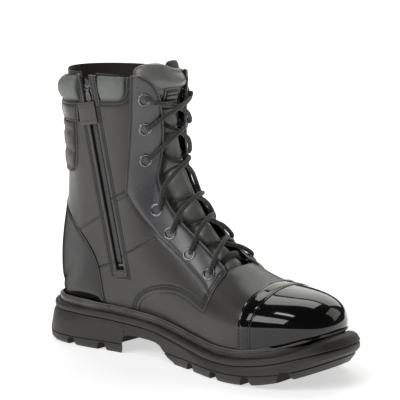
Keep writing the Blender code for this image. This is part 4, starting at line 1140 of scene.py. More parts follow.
def collar():
    """The three collar pads, the band under them, the zip strips and the heel ribs."""
    rear_end, lateral_end = (x_of, -1, REAR_PAD), (x_of, 1, -REAR_PAD)
    front_end, facing_end = ("zip_front", 1, -7.4), ("behind_facing", 1, -COLLAR_GAP)
    pad("collar_roll_rear", [("collar", 1, 0), rear_end], [rear_end], ["collar_pad_rear"])
    pad("collar_roll_lateral", [("medial", -1, 0), (collar_field, 1, 0), lateral_end],
        [lateral_end, facing_end], ["collar_pad_lateral"])
    pad("collar_roll_front", [("medial", 1, 0), (collar_field, 1, 0), front_end],
        [front_end, facing_end], ["collar_pad_front"], puff=.62)
    band_edges = [("band", 1, 0), (x_of, -1, BAND_FRONT)]
    panel("band_leather", LEATHER, "leather", [band_edges[0], ("collar", -1, 1.0), band_edges[1]],
          band_height, thickness=2.6, edges=band_edges,
          stitches=[("band", 1, [2.2]), ("collar", -1, [1.6, 4.4]), (x_of, -1, [-BAND_FRONT + 2.0])],
          replaces=["collar_band"])
    half, top_limit = ("medial", 1, 0), ("top", 1, .6)
    front = [("zip_front", 1, 0), ("zip_front", -1, 7.2)]
    rear = [("zip_rear", 1, 0), ("zip_rear", -1, 4.0)]
    low_limit = (z_of, 1, -STRIP_FRONT_Z)
    panel("zip_strip_front", LEATHER, "leather", [half] + front + [low_limit, top_limit], 1.4,
          thickness=2.0, edges=front + [top_limit, low_limit], stitches=[("zip_front", 1, [1.8, 5.4])])
    panel("zip_strip_rear", LEATHER, "leather", [half] + rear + [(z_of, 1, -STRIP_REAR_Z), top_limit], 2.2,
          thickness=3.0, edges=rear + [top_limit], stitches=[("zip_rear", 1, [2.6])])
    ribs = panel("heel_ribs", RIBS, "soft_leather", [(ribs_field, 1, 0), (z_of, -1, RIBS_HIGH_Z)], ribs_height,
                 thickness=2.6, edges=[(ribs_field, 1, 0)], stitches=[(ribs_field, 1, [1.6])],
                 replaces=["achilles_pad"])


def outside_slit(rows):
    """Distance outside the lining's opening behind the zip."""
    past = rows[:, 0] - zip_x(rows[:, 2])
    return np.max([past - 7.5, -past - 7.5, 62 - rows[:, 2], rows[:, 1] + 5], axis=0)


def outside_throat(rows):
    """Distance outside the lining's opening under the tongue."""
    return np.maximum(-column("throat")(rows) - 20, (7.0 - rows[:, 6]) * PER_STATION)


def lining():
    panel("lining_cloth", LINING_CLOTH, "lining_fabric",
          [(outside_slit, 1, 0), (outside_throat, 1, 0), ("top", 1, 1.5)], LINING_HEIGHT, thickness=1.1,
          replaces=["lining"])


# ------------------------------------------------------------------ tongue

TONGUE_EDGE = [(7, .20), (7.7, .20), (8.2, .18), (10.4, .18), (11.6, .16), (12.6, .14), (14, .10), (17.5, .10),
               (18.4, .11), (19.4, .13), (21, .13)]
TONGUE_TOP = 19.5
TONGUE_FACE, TONGUE_BACK = -9.5, -12.6


def throat_over_tongue(s):
    """Half width of the gap between the facings, held even above the top eyelets."""
    low = np.minimum(s, TONGUE_TOP)
    return share(TONGUE_EDGE, low) * side_length(low)


def tongue_half(s):
    """Half width of the tongue."""
    spread = np.interp(s, [7, 8, 16.5, 17.3, 18.6, 19.6, 20.5, 20.9], [.4, 1, 1, .6, .75, 1.15, 1.25, 1.1])
    return throat_over_tongue(s) + 15.0 * spread


CREASES = np.array([6.9, 7.75, 8.72, 9.72, 10.85, 12.98, 15.5, 17.0])


def crease_distance(s):
    """Millimetres along the tongue to the nearest crossing of the lace."""
    s = np.asarray(s, float)
    along = np.interp(s, [7, 11, 14, 21], [21, 15, 11, 11])
    return np.min(np.abs(s[..., None] - CREASES), axis=-1) * along


def tongue_shape(s, a):
    """Height of the tongue's face: padded swells between the lace crossings, and a rolled top."""
    wide = smooth_step(17.9, 18.9, s)
    across = np.clip(a / ((throat_over_tongue(s) - 3.0) * (1 - wide) + tongue_half(s) * wide), -1, 1)
    crown = np.clip(1 - across**2, 0, 1)**.8
    crown = crown * (1 - wide) + np.clip(1 - across**4, 0, 1)**.5 * wide
    rise = np.interp(s, [7, 7.9, 16.8, 20.9], [0, 6.2, 6.4, 6.4])
    swell = quarter_round(crease_distance(s), 7.5)
    quilt = 2.6 * (swell - .72) * smooth_step(0, .5, crown) * smooth_step(17.1, 16.9, s)
    roll = 3.6 * quarter_round((s - 18.95) * 9.0, 8.0) * (1 - .85 * np.clip((s - 20.0) / .9, 0, 1)**2)
    return TONGUE_FACE + rise * crown + quilt + roll * crown


def tongue():
    """The padded tongue, rolled over at its top, with its cloth back and badge."""
    s = np.concatenate([np.linspace(7.0, 20.3, 230), np.linspace(20.3, 20.9, 16)[1:]])
    across = np.linspace(-1, 1, 81)
    grid_s = np.repeat(s, len(across)).reshape(len(s), -1)
    grid_a = across * tongue_half(s)[:, None]
    shifted = grid_a - 3.2 * smooth_step(18.4, 20.2, grid_s)
    face = lift(grid_s, shifted, tongue_shape(grid_s, grid_a))
    back = lift(grid_s, shifted, np.full(grid_s.shape, TONGUE_BACK))
    sag = smooth_step(18.6, 20.9, grid_s) * (4.4 + 5.0 * smooth_step(-15, 14, grid_a)
                                             + 4.0 * np.clip(np.abs(across), 0, 1)**5)
    face[..., 2] -= sag
    back[..., 2] -= sag
    cap_count = 9
    middle, reach = (face[-1] + back[-1]) / 2, (face[-1] - back[-1]) / 2
    up = np.array([-.05, 0, 1.0]) * np.linalg.norm(reach, axis=1)[:, None]
    roll = [middle + reach * math.cos(t) + up * math.sin(t)
            for t in np.linspace(0, math.pi, cap_count + 2)[1:-1]]
    rings = np.concatenate([face, np.array(roll), back[::-1]])
    rows, cols = rings.shape[:2]
    faces, front = grid_faces(rows, cols), len(face)
    for k in range(front + cap_count // 2):
        a, b = k * cols, (k + 1) * cols
        c, d = (rows - 1 - k) * cols, (rows - 2 - k) * cols
        for e in (0, cols - 1):
            faces.append(tuple(dict.fromkeys((a + e, b + e, d + e, c + e))))
    faces += [(c, c + 1, (rows - 1) * cols + c + 1, (rows - 1) * cols + c) for c in range(cols - 1)]
    faces = [f for f in faces if len(f) > 2]
    # painted shade: the seam attribute darkens the tongue where the lace crosses, for the shade in those
    # creases
    crease_shade = np.exp(-(crease_distance(grid_s) / 1.0)**2) * (grid_s < 17.1)
    seam = np.concatenate([crease_shade.reshape(-1) * .8, np.zeros((rows - front) * cols)])
    mesh = mesh_of("tongue_padded", rings.reshape(-1, 3), faces, weld=.003,
                   attributes={"seam": seam, "edge": np.zeros(rows * cols)})
    new = link("tongue_padded", mesh, TONGUE_PAINTED_LIGHT, "soft_leather", sharp=70)
    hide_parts("tongue")
    dome()
    label()


def dome():
    """The tongue's cloth back, which stands up behind its rolled leather top."""
    steps, sides = 16, 48
    centre, normal = surface([20.2], [9.5])
    centre, normal = centre[0] - normal[0] * 9.8, normal[0]
    across = np.cross((0, 0, 1.0), normal)
    across /= np.linalg.norm(across)
    verts = []
    for t in np.linspace(0, math.pi / 2, steps + 1):
        for q in np.linspace(0, 2 * math.pi, sides, endpoint=False):
            wide = 13.0 * math.cos(t)**.36 * math.cos(q)
            deep = 5.4 * math.cos(t)**.5 * math.sin(q)
            verts.append(centre + across * wide + normal * deep + np.array([0, 0, -14 + 23.5 * math.sin(t)]))
    faces = grid_faces(steps + 1, sides, closed_cols=True) + [tuple(range(sides))[::-1]]
    new = link("tongue_back", mesh_of("tongue_back", verts, faces, weld=.01), LINING_CLOTH, "lining_fabric")


def badge(name, stations, arcs, rows, cols, high, low, mat):
    """A thin sheet on the tongue's face, between two heights over it."""
    s, a = np.meshgrid(np.linspace(*stations, rows), np.linspace(*arcs, cols), indexing="ij")
    h = tongue_shape(s, a)
    slab(name, lift(s, a, h + high), lift(s, a, h + low), mat, "soft_leather")


def label():
    """A plain woven badge with a border and three bars, free of any lettering."""
    badge("tongue_label", (17.25, 19.05), (-12, 9), 26, 30, .75, -.3, LABEL)
    marks = [((17.4, 18.9), (-10.8, -10.2)), ((17.4, 18.9), (7.2, 7.8)), ((17.4, 17.45), (-10.8, 7.8)),
             ((18.85, 18.9), (-10.8, 7.8)), ((17.75, 17.86), (-8, 5)), ((18.05, 18.22), (-8, 5)),
             ((18.42, 18.53), (-8, 5))]
    for k, (stations, arcs) in enumerate(marks):
        badge("label_mark_%d" % k, stations, arcs, 10, 24, .95, .6, LABEL_THREAD)


def slab(name, front, back, mat, slot):
    """A closed sheet between two matching grids of points."""
    mesh = two_skins(name, front.reshape(-1, 3), back.reshape(-1, 3), grid_faces(*front.shape[:2]), {})
    return link(name, mesh, mat, slot, sharp=50)


# ------------------------------------------------------------------ eyelets and lace

EYELETS = [(8.20, .33), (9.16, .31), (10.20, .29), (11.40, .24), (14.56, .18), (16.56, .19), (18.48, .20)]
AGLET = [(.2, -.2), (2.3, -.2), (2.42, .2), (2.3, .5), (2.25, 7.2), (2.0, 8.0), (1.3, 8.45), (.2, 8.5)]
LACE_RADIUS = 1.9
LACE_UNDER, LACE_OVER, LACE_LOW, LACE_HIGH = -5.9, 3.8, 0.0, 4.0


def eyelet_arc(k):
    return EYELETS[k][1] * float(side_length(EYELETS[k][0], 1))


def eyelet_place(k, side):
    here, normal = surface([EYELETS[k][0]], [side * eyelet_arc(k)])
    return here[0], normal[0]


def turned(name, profile, origin, axis, mat, slot, sides=40):
    """A closed ring turned round an axis from (radius, height) pairs."""
    axis = Vector(axis).normalized()
    side = axis.orthogonal().normalized()
    other = axis.cross(side)
    verts = []
    for k in range(sides):
        angle = 2 * math.pi * k / sides
        out = side * math.cos(angle) + other * math.sin(angle)
        verts += [np.array(Vector(origin) + out * r + axis * h) for r, h in profile]
    faces = grid_faces(sides, len(profile), closed_cols=True, closed_rows=True)
    return link(name, mesh_of(name, verts, faces), mat, slot, sharp=60)


def eyelets():
    """Rolled tubular eyelets: a domed flange that turns into the barrel."""
    face = FACE + .05
    rim = [(5.55, face - .15), (5.7, face + .2), (5.55, face + .7), (5.1, face + 1.05), (4.5, face + 1.1),
           (3.9, face + .8), (3.5, face + .3), (3.35, face - .3)]
    profile = rim + [(3.35, -2.6), (3.45, -3.3), (4.5, -3.4), (4.5, -2.9), (3.75, -2.5), (3.75, face - .3)]
    for side, label_of in ((-1, "medial"), (1, "lateral")):
        for k in range(len(EYELETS)):
            here, normal = eyelet_place(k, side)
            name = "eyelet_%s_%d" % (label_of, k + 1)
            new = turned("rolled_" + name, profile, here, normal, ENAMEL, "eyelet")
            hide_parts(name)


def rise_through(k, side):
    """Lace up through an eyelet: from under the facing to above its flange."""
    s, arc = EYELETS[k][0], eyelet_arc(k)
    steps = [(-3.6, LACE_UNDER), (-.9, LACE_UNDER + .7), (-1.4, -3.4), (-1.5, 1.0), (-2.6, LACE_OVER - .9),
             (-4.6, LACE_OVER)]
    here, normal = eyelet_place(k, side)
    toward = surface([s], [side * (arc - 6)])[0][0] - here
    toward -= normal * (toward @ normal)
    toward /= np.linalg.norm(toward)
    return [here + toward * -d + normal * h for d, h in steps]


def lifted(s, a, h):
    return lift([s], [a], [h])[0]


def rung(k, side, centre_height):
    """Lace from eyelet k on one side over the tongue and under the facing to the next one up."""
    s0, s1 = EYELETS[k][0], EYELETS[k + 1][0]
    e0, e1 = throat_half(s0 * .75 + s1 * .25), throat_half(s0 * .2 + s1 * .8)
    points = [(s0 + .22 * (s1 - s0), e0 - 1.5, 2.9 + .2 * (centre_height - LACE_LOW)),
              (s0 + .36 * (s1 - s0), e0 * .48, centre_height + (.8 if centre_height < 2 else .2)),
              (s0 + .52 * (s1 - s0), 0, centre_height),
              (s0 + .68 * (s1 - s0), -e1 * .50, centre_height - (1.6 if centre_height < 2 else 1.9)),
              (s0 + .82 * (s1 - s0), -(e1 - 4.5), LACE_UNDER + .6),
              (s0 + .93 * (s1 - s0), -(e1 + .5), LACE_UNDER)]
    return [lifted(s, side * a, h) for s, a, h in points]


def last_rung(k, side, centre_height):
    """Lace from eyelet k over the tongue and the far facing, down into the top eyelet, and its end."""
    s0, s1 = EYELETS[k][0], EYELETS[k + 1][0]
    e0, e1 = throat_half(s0 * .75 + s1 * .25), throat_half(s0 * .35 + s1 * .65)
    arc = eyelet_arc(k + 1)
    high = centre_height > 2
    points = [(.22, e0 - 1.5, 3.8 if high else 3.0), (.33, e0 * .48, centre_height + .3),
              (.46, 0, centre_height), (.58, -e1 * .5, centre_height + (-.6 if high else .6)),
              (.68, -(e1 - 1.5), 3.2), (.82, -(e1 + arc) / 2, LACE_OVER - .6),
              (.92, -(arc - 6.5), LACE_OVER - .1)]
    over = [lifted(s0 + f * (s1 - s0), side * a, h) for f, a, h in points]
    tail = [(-.07, arc - 6.3, LACE_UNDER - .2), (-.24, arc - 8.3, LACE_UNDER - .4),
            (-.46, arc - 9.2, LACE_UNDER - .5)]
    return over + rise_through(k + 1, -side)[::-1] + [lifted(s1 + ds, -side * a, h) for ds, a, h in tail]


def lace_points():
    """One lace, from its end inside one top eyelet to its end inside the other."""
    last = len(EYELETS) - 1
    runs = {}
    for start in (-1, 1):
        pts, side = [], start
        for k in range(last):
            pts += rise_through(k, side)
            centre = LACE_HIGH if side < 0 else LACE_LOW
            pts += last_rung(k, side, centre) if k + 1 == last else rung(k, side, centre)
            side = -side
        runs[start] = pts
    s = EYELETS[0][0]
    edge = throat_half(s)
    bar = [(edge + 1.5, LACE_UNDER), (edge - 4, LACE_UNDER + 1.2), (edge * .3, -.2)]
    bar_points = [lifted(s, side * a, h) for side, (a, h) in
                  [(-1, bar[0]), (-1, bar[1]), (-1, bar[2]), (1, bar[2]), (1, bar[1]), (1, bar[0])]]
    return runs[-1][::-1] + bar_points + runs[1]


def smoothed(points):
    """Centripetal curve through points, five samples per span."""
    pts = np.array(points)
    at = centripetal(pts)
    spans = [np.linspace(first, last, 5, endpoint=False) for first, last in zip(at[:-1], at[1:])]
    return hermite(at, pts, np.concatenate(spans + [at[-1:]]))


def lace():
    """The lace as one cord, and the tips at its two ends."""
    points = smoothed(lace_points())
    curve = bpy.data.curves.new("lace_cord", "CURVE")
    curve.dimensions = "3D"
    curve.bevel_depth = LACE_RADIUS * MM
    curve.bevel_resolution = 6
    curve.use_fill_caps = True
    spline = curve.splines.new("POLY")
    spline.points.add(len(points) - 1)
    for point, co in zip(spline.points, points):
        point.co = (*(co * MM), 1)
    spline.use_smooth = True
    curve.materials.append(LACE)
    cord = placed("lace_cord", curve)
    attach(cord, "boot")
    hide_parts("lace")
    for name, tip, before in (("aglet_first", points[0], points[2]),
                              ("aglet_last", points[-1], points[-3])):
        new = turned("tip_" + name, AGLET, tip, tip - before, TIP, "aglet", sides=24)
        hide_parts(name)


# ------------------------------------------------------------------ zip

def zip_frame():
    """Origin at the top of the zip on the leather surface; u forward, v down, n outward."""
    origin = np.array([zip_x(ZIP_TOP_Z), zip_y(ZIP_TOP_Z), ZIP_TOP_Z])
    down = np.array([-ZIP_X_SLOPE, -ZIP_Y_SLOPE, -1.0])
    down /= np.linalg.norm(down)
    out = np.array([0.0, -1.0, ZIP_Y_SLOPE])
    out /= np.linalg.norm(out)
    forward = np.cross(down, out)
    forward /= np.linalg.norm(forward)
    return origin, forward if forward[0] > 0 else -forward, down, out


ZIP = zip_frame()
ZIP_LENGTH = (ZIP_TOP_Z - ZIP_END_Z) * math.sqrt(1 + ZIP_X_SLOPE**2 + ZIP_Y_SLOPE**2)


def at_zip(points):
    o, u, v, n = ZIP
    points = np.asarray(points, float)
    return o + points[..., :1] * u + points[..., 1:2] * v + points[..., 2:] * n


def rounded_box(u0, u1, v0, v1, radius):
    """Outline of a rectangle with round corners, in (u, v)."""
    corners = ((u1 - radius, v1 - radius, 0), (u0 + radius, v1 - radius, 90),
               (u0 + radius, v0 + radius, 180), (u1 - radius, v0 + radius, 270))
    turns = [(cu, cv, math.radians(start + step)) for cu, cv, start in corners for step in range(0, 91, 18)]
    return np.array([(cu + radius * math.cos(t), cv + radius * math.sin(t)) for cu, cv, t in turns])


def plate(name, outline, low, high, mat, slot, body="boot", bevel=.3, crown=0.0):
    """A flat piece with rounded edges and a slightly domed face, from an outline in (u, v)."""
    outline = np.asarray(outline, float)
    middle = outline.mean(0)
    n = len(outline)
    rings = [(bevel, low), (0, low + bevel)]
    rings += [(bevel * (1 - math.cos(t)), high - bevel + bevel * math.sin(t))
              for t in np.linspace(0, math.pi / 2, 4)]
    run = np.roll(outline, -1, 0) - np.roll(outline, 1, 0)
    run /= np.linalg.norm(run, axis=1)[:, None]
    out = np.stack([run[:, 1], -run[:, 0]], 1)
    if ((outline - middle) * out).sum() < 0:
        out = -out
    verts = [np.column_stack([outline - out * d, np.full(n, h)]) for d, h in rings]
    top = outline - out * bevel
    scales = (.82, .62, .4, .2)
    verts += [np.column_stack([middle + (top - middle) * q, np.full(n, high + crown * (1 - q * q))])
              for q in scales]
    verts.append(np.array([[*middle, high + crown], [*middle, low]]))
    faces = grid_faces(len(rings) + len(scales), n, closed_cols=True)
    tip = (len(rings) + len(scales)) * n
    faces += [(tip - n + k, tip - n + (k + 1) % n, tip) for k in range(n)]
    faces += [((k + 1) % n, k, tip + 1) for k in range(n)]
    verts = np.concatenate(verts)
    rim = np.concatenate([np.ones(n * 2), np.linspace(1, .6, len(rings) - 2).repeat(n),
                          np.zeros(n * len(scales)), np.zeros(2)])
    mesh = mesh_of(name, at_zip(verts), faces, attributes={"edge": rim, "seam": np.zeros(len(rim))})
    return link(name, mesh, mat, slot, body, sharp=50)


def sewing_rows(points, normal):
    """Vertex rows for sew(), at level 0."""
    rows = np.zeros((len(points), FIRST_FIELD + len(FIELD_NAMES) + 1))
    rows[:, :3], rows[:, 3:6] = points, normal
    return rows


def zip_sewing(line, height):
    """A row of sewing along a line in the zip's (u, v)."""
    return sewing_rows(at_zip(np.column_stack([line, np.full(len(line), height)])), ZIP[3])


def stitch_ring(outline, distance, height):
    """A closed row of sewing inside an outline."""
    middle = outline.mean(0)
    size = np.abs(outline - middle).max(0)
    line = middle + (outline - middle) * (1 - distance / size)
    return zip_sewing(resample(np.vstack([line, line[:1]]), 120), height)


def joined_mesh(name, parts, mat, slot, body="boot", **more):
    """One mesh from (verts, faces) pairs in the zip's own frame."""
    verts, faces = [], []
    for part_verts, part_faces in parts:
        start = len(verts)
        verts += list(part_verts)
        faces += [tuple(start + i for i in f) for f in part_faces]
    return link(name, mesh_of(name, at_zip(verts), faces), mat, slot, body, **more)


def capsule(first, last, radius, flat=1.0):
    """A short rounded bar between two points of the zip's frame."""
    first, last = np.array(first, float), np.array(last, float)
    run = last - first
    size = np.linalg.norm(run)
    run /= size
    up = np.array([0.0, 0.0, 1.0])
    up -= run * (up @ run)
    up /= np.linalg.norm(up)
    side = np.cross(run, up)
    rings = [(0, .35), (.25 * radius, .75), (radius, 1), (size - radius, 1), (size - .25 * radius, .75),
             (size, .35)]
    verts, sides = [], 8
    for t, r in rings:
        for q in range(sides):
            angle = 2 * math.pi * q / sides
            out = side * math.cos(angle) + up * flat * math.sin(angle)
            verts.append(first + run * t + radius * r * out)
    return verts, grid_faces(len(rings), sides, closed_cols=True) + end_faces(len(rings), sides)


TOOTH_PITCH = 1.5


def zip_parts():
    """The tapes, teeth, stops, slider, pull and the tab that guards them."""
    for label_of, sign in (("front", 1), ("rear", -1)):
        u, v = np.meshgrid(sign * np.linspace(.5, 13, 14), np.linspace(-1, ZIP_LENGTH + 4, 120))
        wave = .05 * np.sin(v * 2.2)
        face, back = [at_zip(np.stack([u, v, depth + wave], -1)) for depth in (-3.45, -4.1)]
        tape = slab("tape_cloth_" + label_of, face, back, TAPE_WITH_SHADE, "zip_tape")
        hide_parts("zip_tape_" + label_of)
        places = [1.0 + k * TOOTH_PITCH + (TOOTH_PITCH / 2 if sign > 0 else 0)
                  for k in range(int((ZIP_LENGTH - 4) / TOOTH_PITCH))]
        teeth = [capsule((sign * -.35, v, -1.15), (sign * 2.5, v + sign * .25, -1.3), .62, flat=1.15)
                 for v in places]
        chain = joined_mesh("coil_" + label_of, teeth, COIL, "zip_coil")
        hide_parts("zip_chain_" + label_of)
        threads = [capsule((sign * 2.9, v, -3.3), (sign * 2.9, v + 1.5, -3.3), .28)
                   for v in np.arange(1, ZIP_LENGTH - 3, 2.1)]
        joined_mesh("coil_sewing_" + label_of, threads, THREAD, "zip_tape")
    stop = plate("bottom_stop", rounded_box(-3.6, 3.6, ZIP_LENGTH - 2.6, ZIP_LENGTH, .7), -3.15, -1.9,
                 GUNMETAL, "zip_metal", bevel=.35, crown=.1)
    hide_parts("zip_bottom_stop")
    outline = rounded_box(-7.4, 7.2, ZIP_LENGTH + 2.4, ZIP_LENGTH + 8.6, 2.0)
    end = plate("end_patch", outline, -.2, 1.05, LEATHER, "leather", bevel=.5)
    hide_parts("zip_end_patch")
    STITCH_RUNS["boot"].append(stitch_ring(outline, 1.5, .95))
    slider(4.0, 15.0)
    pull(8.5)
    tab = plate("guard_tab", rounded_box(-12.4, 6.2, 19.0, 38.5, 1.2), 1.4, 2.5, LEATHER, "leather", "tab",
                bevel=.5, crown=.3)
    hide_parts("zip_tab")
    STITCH_RUNS["tab"] = [zip_sewing(np.linspace((-11.2, v), (5.2, v), 40), 2.5) for v in (21.0, 24.2, 35.0)]


def slider(v0, v1):
    """The slider's two plates, the post between them and the lugs that hold the pull."""
    wings = [(-4.1, v0 + 1), (-3.9, v0 + 4), (-3.5, v0 + 7), (-3.4, v1 - .6), (-2.8, v1), (2.8, v1),
             (3.4, v1 - .6), (3.5, v0 + 7), (3.9, v0 + 4), (4.1, v0 + 1), (3.2, v0 + .2), (1.2, v0 + .9),
             (0, v0 + 1.5), (-1.2, v0 + .9), (-3.2, v0 + .2)]
    outline = resample(np.array(wings + wings[:1], float), 61)[:-1]
    top = plate("slider_plate", outline, -1.3, -.35, GUNMETAL, "zip_metal", "slider", crown=.12)
    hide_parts("zip_slider")
    plate("slider_under", outline, -5.45, -4.45, GUNMETAL, "zip_metal", "slider")
    plate("slider_post", rounded_box(-.4, .4, v0 + 1.7, v0 + 5.5, .35), -4.8, -.9, GUNMETAL, "zip_metal",
          "slider", bevel=.1)
    profile = [(-1.2, -.6), (-1.2, .2), (-.85, .7), (-.3, .9), (.3, .9), (.85, .7), (1.2, .2), (1.2, -.6)]
    lugs = [([(u + du, v0 + 4.5 + v, n) for du in (-.5, .5) for v, n in profile], prism_faces(len(profile)))
            for u in (-2.3, 2.3)]
    lug = joined_mesh("slider_lugs", lugs, GUNMETAL, "zip_metal", "slider", smooth=False)
    edge = lug.modifiers.new("edge", "BEVEL")
    edge.width, edge.segments = .00015, 2


def pull(pivot):
    """The pull with its raised grip bars, and the bar it swings on."""
    half = [(1.45, -.45), (1.55, .4), (1.5, 2.2), (1.9, 3.2), (2.5, 4.4), (2.6, 6), (2.6, 9.0), (2.35, 9.9),
            (1.6, 10.4), (.6, 10.6)]
    outline = [(u, pivot + v) for u, v in half] + [(-u, pivot + v) for u, v in half[::-1]]
    line = resample(np.array(outline + outline[:1]), 81)[:-1]
    face = plate("pull_plate", line, .12, .93, GUNMETAL, "zip_metal", "pull", bevel=.25, crown=.05)
    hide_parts("zip_pull")
    grip = [capsule((-1.5, pivot + v, .92), (1.5, pivot + v, .92), .22, flat=.8)
            for v in (5.2, 6.1, 7.0, 7.9, 8.8)]
    joined_mesh("pull_grip", grip, GUNMETAL, "zip_metal", "pull")
    bar = [capsule((-1.75, pivot, .53), (1.75, pivot, .53), .34)]
    joined_mesh("pull_bar", bar, GUNMETAL, "zip_metal", "pull")


# ------------------------------------------------------------------ sole unit

SOLE = sole_loop(150)
HEEL_BREAST = -53.0
GROOVES_FOREFOOT = [28, 60, 94, 125]
GROOVES_HEEL = [-107, -75]
HOLLOW_X, HOLLOW_RADIUS, HOLLOW_TOP = -33.0, 43.0, 17.2
MIDSOLE_LOW = 10.0
FAR_DOWN, FAR_UP = -20, 80
CUTTER_REACH = 90


def level(distance, height):
    """The sole's outline drawn in by a distance, at a height."""
    loop = inset(SOLE, distance)
    z = height(loop[:, 0]) if callable(height) else np.full(len(loop), float(height))
    return np.column_stack([loop, z])


def under(depth):
    """Height below the welt's top."""
    return lambda x: welt_z(x) - depth


def between(share_of):
    """A level part of the way from the ground up to the midsole."""
    return lambda x: ground_z(x) + share_of * (welt_z(x) - MIDSOLE_LOW - .3 - ground_z(x))


def above_ground(z):
    """Height over the bottom of the tread."""
    return lambda x: ground_z(x) + z


def skin(name, loops, mat, slot, closed=False, sharp=38):
    """A solid through loops, capped across at both ends, or closed into a band."""
    n = len(loops[0])
    verts = np.vstack(loops)
    faces = grid_faces(len(loops), n, closed_cols=True, closed_rows=closed)
    if not closed:
        for k, flip in ((0, True), (len(loops) - 1, False)):
            for i in range(n // 2):
                poly = [k * n + q for q in dict.fromkeys([i, i + 1, (n - i - 1) % n, (n - i) % n])]
                faces.append(tuple(poly[::-1] if flip else poly))
    return link(name, mesh_of(name, verts, faces), mat, slot, sharp=sharp)


def carve(target, cutters):
    """Takes the cutters' shapes out of a mesh; the lug channels get a darker rubber, which is painted shade.
    """
    for cutter in cutters:
        mod = target.modifiers.new("cut", "BOOLEAN")
        mod.operation, mod.solver, mod.object = "DIFFERENCE", "EXACT", cutter
        mod.material_mode = "TRANSFER"
        cutter.data.materials.append(LUG_SHADE_RUBBER if cutter.name.startswith("lug") else RUBBER)
    dep = bpy.context.evaluated_depsgraph_get()
    mesh = bpy.data.meshes.new_from_object(target.evaluated_get(dep))
    target.modifiers.clear()
    target.data = mesh
    for cutter in cutters:
        bpy.data.objects.remove(cutter, do_unlink=True)


def cutter_between(name, first, second):
    """A solid between an outline and its copy."""
    return placed(name, mesh_of(name, first + second, prism_faces(len(first))))


def prism_cutter(name, profile, slant=0.0):
    """A cutter right across the sole, from an outline in side view."""
    ends = [[(x + slant * side, CUTTER_REACH * side, z) for x, z in profile] for side in (-1, 1)]
    return cutter_between(name, *ends)


def lug_cutter(k, x):
    bottom = float(ground_z(x))
    corners = ((-6.8, -8), (-5.4, -.2), (-3.6, 5.6), (-2.6, 7.0),
               (2.4, 7.0), (3.3, 5.6), (4.6, -.2), (5.4, -8))
    profile = [(x + dx, bottom + dz) for dx, dz in corners]
    return prism_cutter("lug_%d" % k, profile, slant=6.0)


def flare():
    """How far the sidewall stands out low down: at the heel and the ball, not at the waist."""
    x = SOLE[:, 0]
    return 2.7 * smooth_step(-70, -125, x) + 1.3 * (smooth_step(5, 45, x) - smooth_step(118, 148, x))


def rocker():
    """How far the bottom edge draws in under the toe and the heel's back."""
    x = SOLE[:, 0]
    return 5.5 * smooth_step(118, 153, x) + 1.2 * smooth_step(-132, -152, x)


def welt_loops(edge, tip, heel_end):
    """The round bead against the upper and the wall of the recess under it."""
    x = SOLE[:, 0]
    lift, stout = 3.0 * smooth_step(75, 140, x), 1.65 + .75 * smooth_step(80, 140, x)
    turns = [math.pi * k / 6 for k in range(6, 15)]
    bead = [level(edge - 2.7 - .8 * tip + 2.0 * heel_end + stout * math.cos(t),
                  under(-.35 - lift - stout * math.sin(t))) for t in turns]
    return bead + [level(edge + d, under(h)) for d, h in ((-2.0, 1.9), (-1.6, 4.9), (2.0, 4.9), (2.0, 1.3))]


def midsole_loops(edge, tip, out):
    """The bulging band over the tread, blunt and high at the toe, and its top under the recess."""
    low, high = MIDSOLE_LOW, 5.0 * tip
    side = ((2.2, low), (1.0, low - .05), (.3 + .24 * tip, low - .5), (.8 * tip, low - 1.8),
            (1.8 * tip, low - 3.3), (.25 + 3.0 * tip, low - 4.4 - high * .3),
            (.8 + 4.6 * tip, low - 5.1 - high * .6), (1.6 + 6.6 * tip, low - 5.7 - high * .85),
            (2.5 + 8.8 * tip, low - 5.9 - high), (3.2 + 10.5 * tip, low - 5.7 - high),
            (3.8 + 10.5 * tip, low - 5.0 - high * .5), (4.6 + 10.5 * tip, 5.2))
    return ([level(d - out, under(h)) for d, h in side]
            + [level(edge - .6, under(5.25)), level(edge, under(5.2))])


def tread_loops(tip, out):
    """The outsole's wall from the ground up: tread, a fine line round it, and the flared side."""
    wide, tuck = flare(), rocker()
    line = 7.6 - 2.2 * smooth_step(90, 140, SOLE[:, 0])
    low = ((3.2 + tuck, 0), (1.8 - wide * .3 + tuck, .1), (1.0 - wide * .6 + tuck, .9),
           (.2 - wide + tuck * .7, 3.2), (-wide + tuck * .45, line - .6), (-wide + tuck * .4, line),
           (1.0 - wide + tuck * .4, line + .25), (1.0 - wide + tuck * .35, line + .8),
           (.1 - wide + tuck * .3, line + 1.1))
    high = ((-wide * .85 - out * .95 + tuck * .12, .62), (-wide * .45 - out * .95 + .35 * tip, .84),
            (-out + .8 * tip, .93), (.7 - out + .7 * tip, .985), (2.2 - out, 1))
    return [level(d, above_ground(z)) for d, z in low] + [level(d, between(f)) for d, f in high]


WAIST = [(-62, FAR_DOWN), (-62, 15.2), (-55, 16.6), (-47, 17.0), (-38, 16.6), (-28, 16), (-21, 15.2),
         (-16, 13.4), (-12.5, 10.4), (-9.5, 7.4), (-6, 5), (-2.5, 3.6), (.5, 2.6), (2.6, .6), (3.4, FAR_DOWN)]


def hollow_cutter():
    """The round hollow in the heel's front."""
    turns = np.linspace(0, 2 * math.pi, 97)[:-1]
    ring = [(HOLLOW_X + HOLLOW_RADIUS * math.cos(q), HOLLOW_RADIUS * math.sin(q)) for q in turns]
    return cutter_between("hollow", *[[(x, y, z) for x, y in ring] for z in (FAR_DOWN, HOLLOW_TOP)])


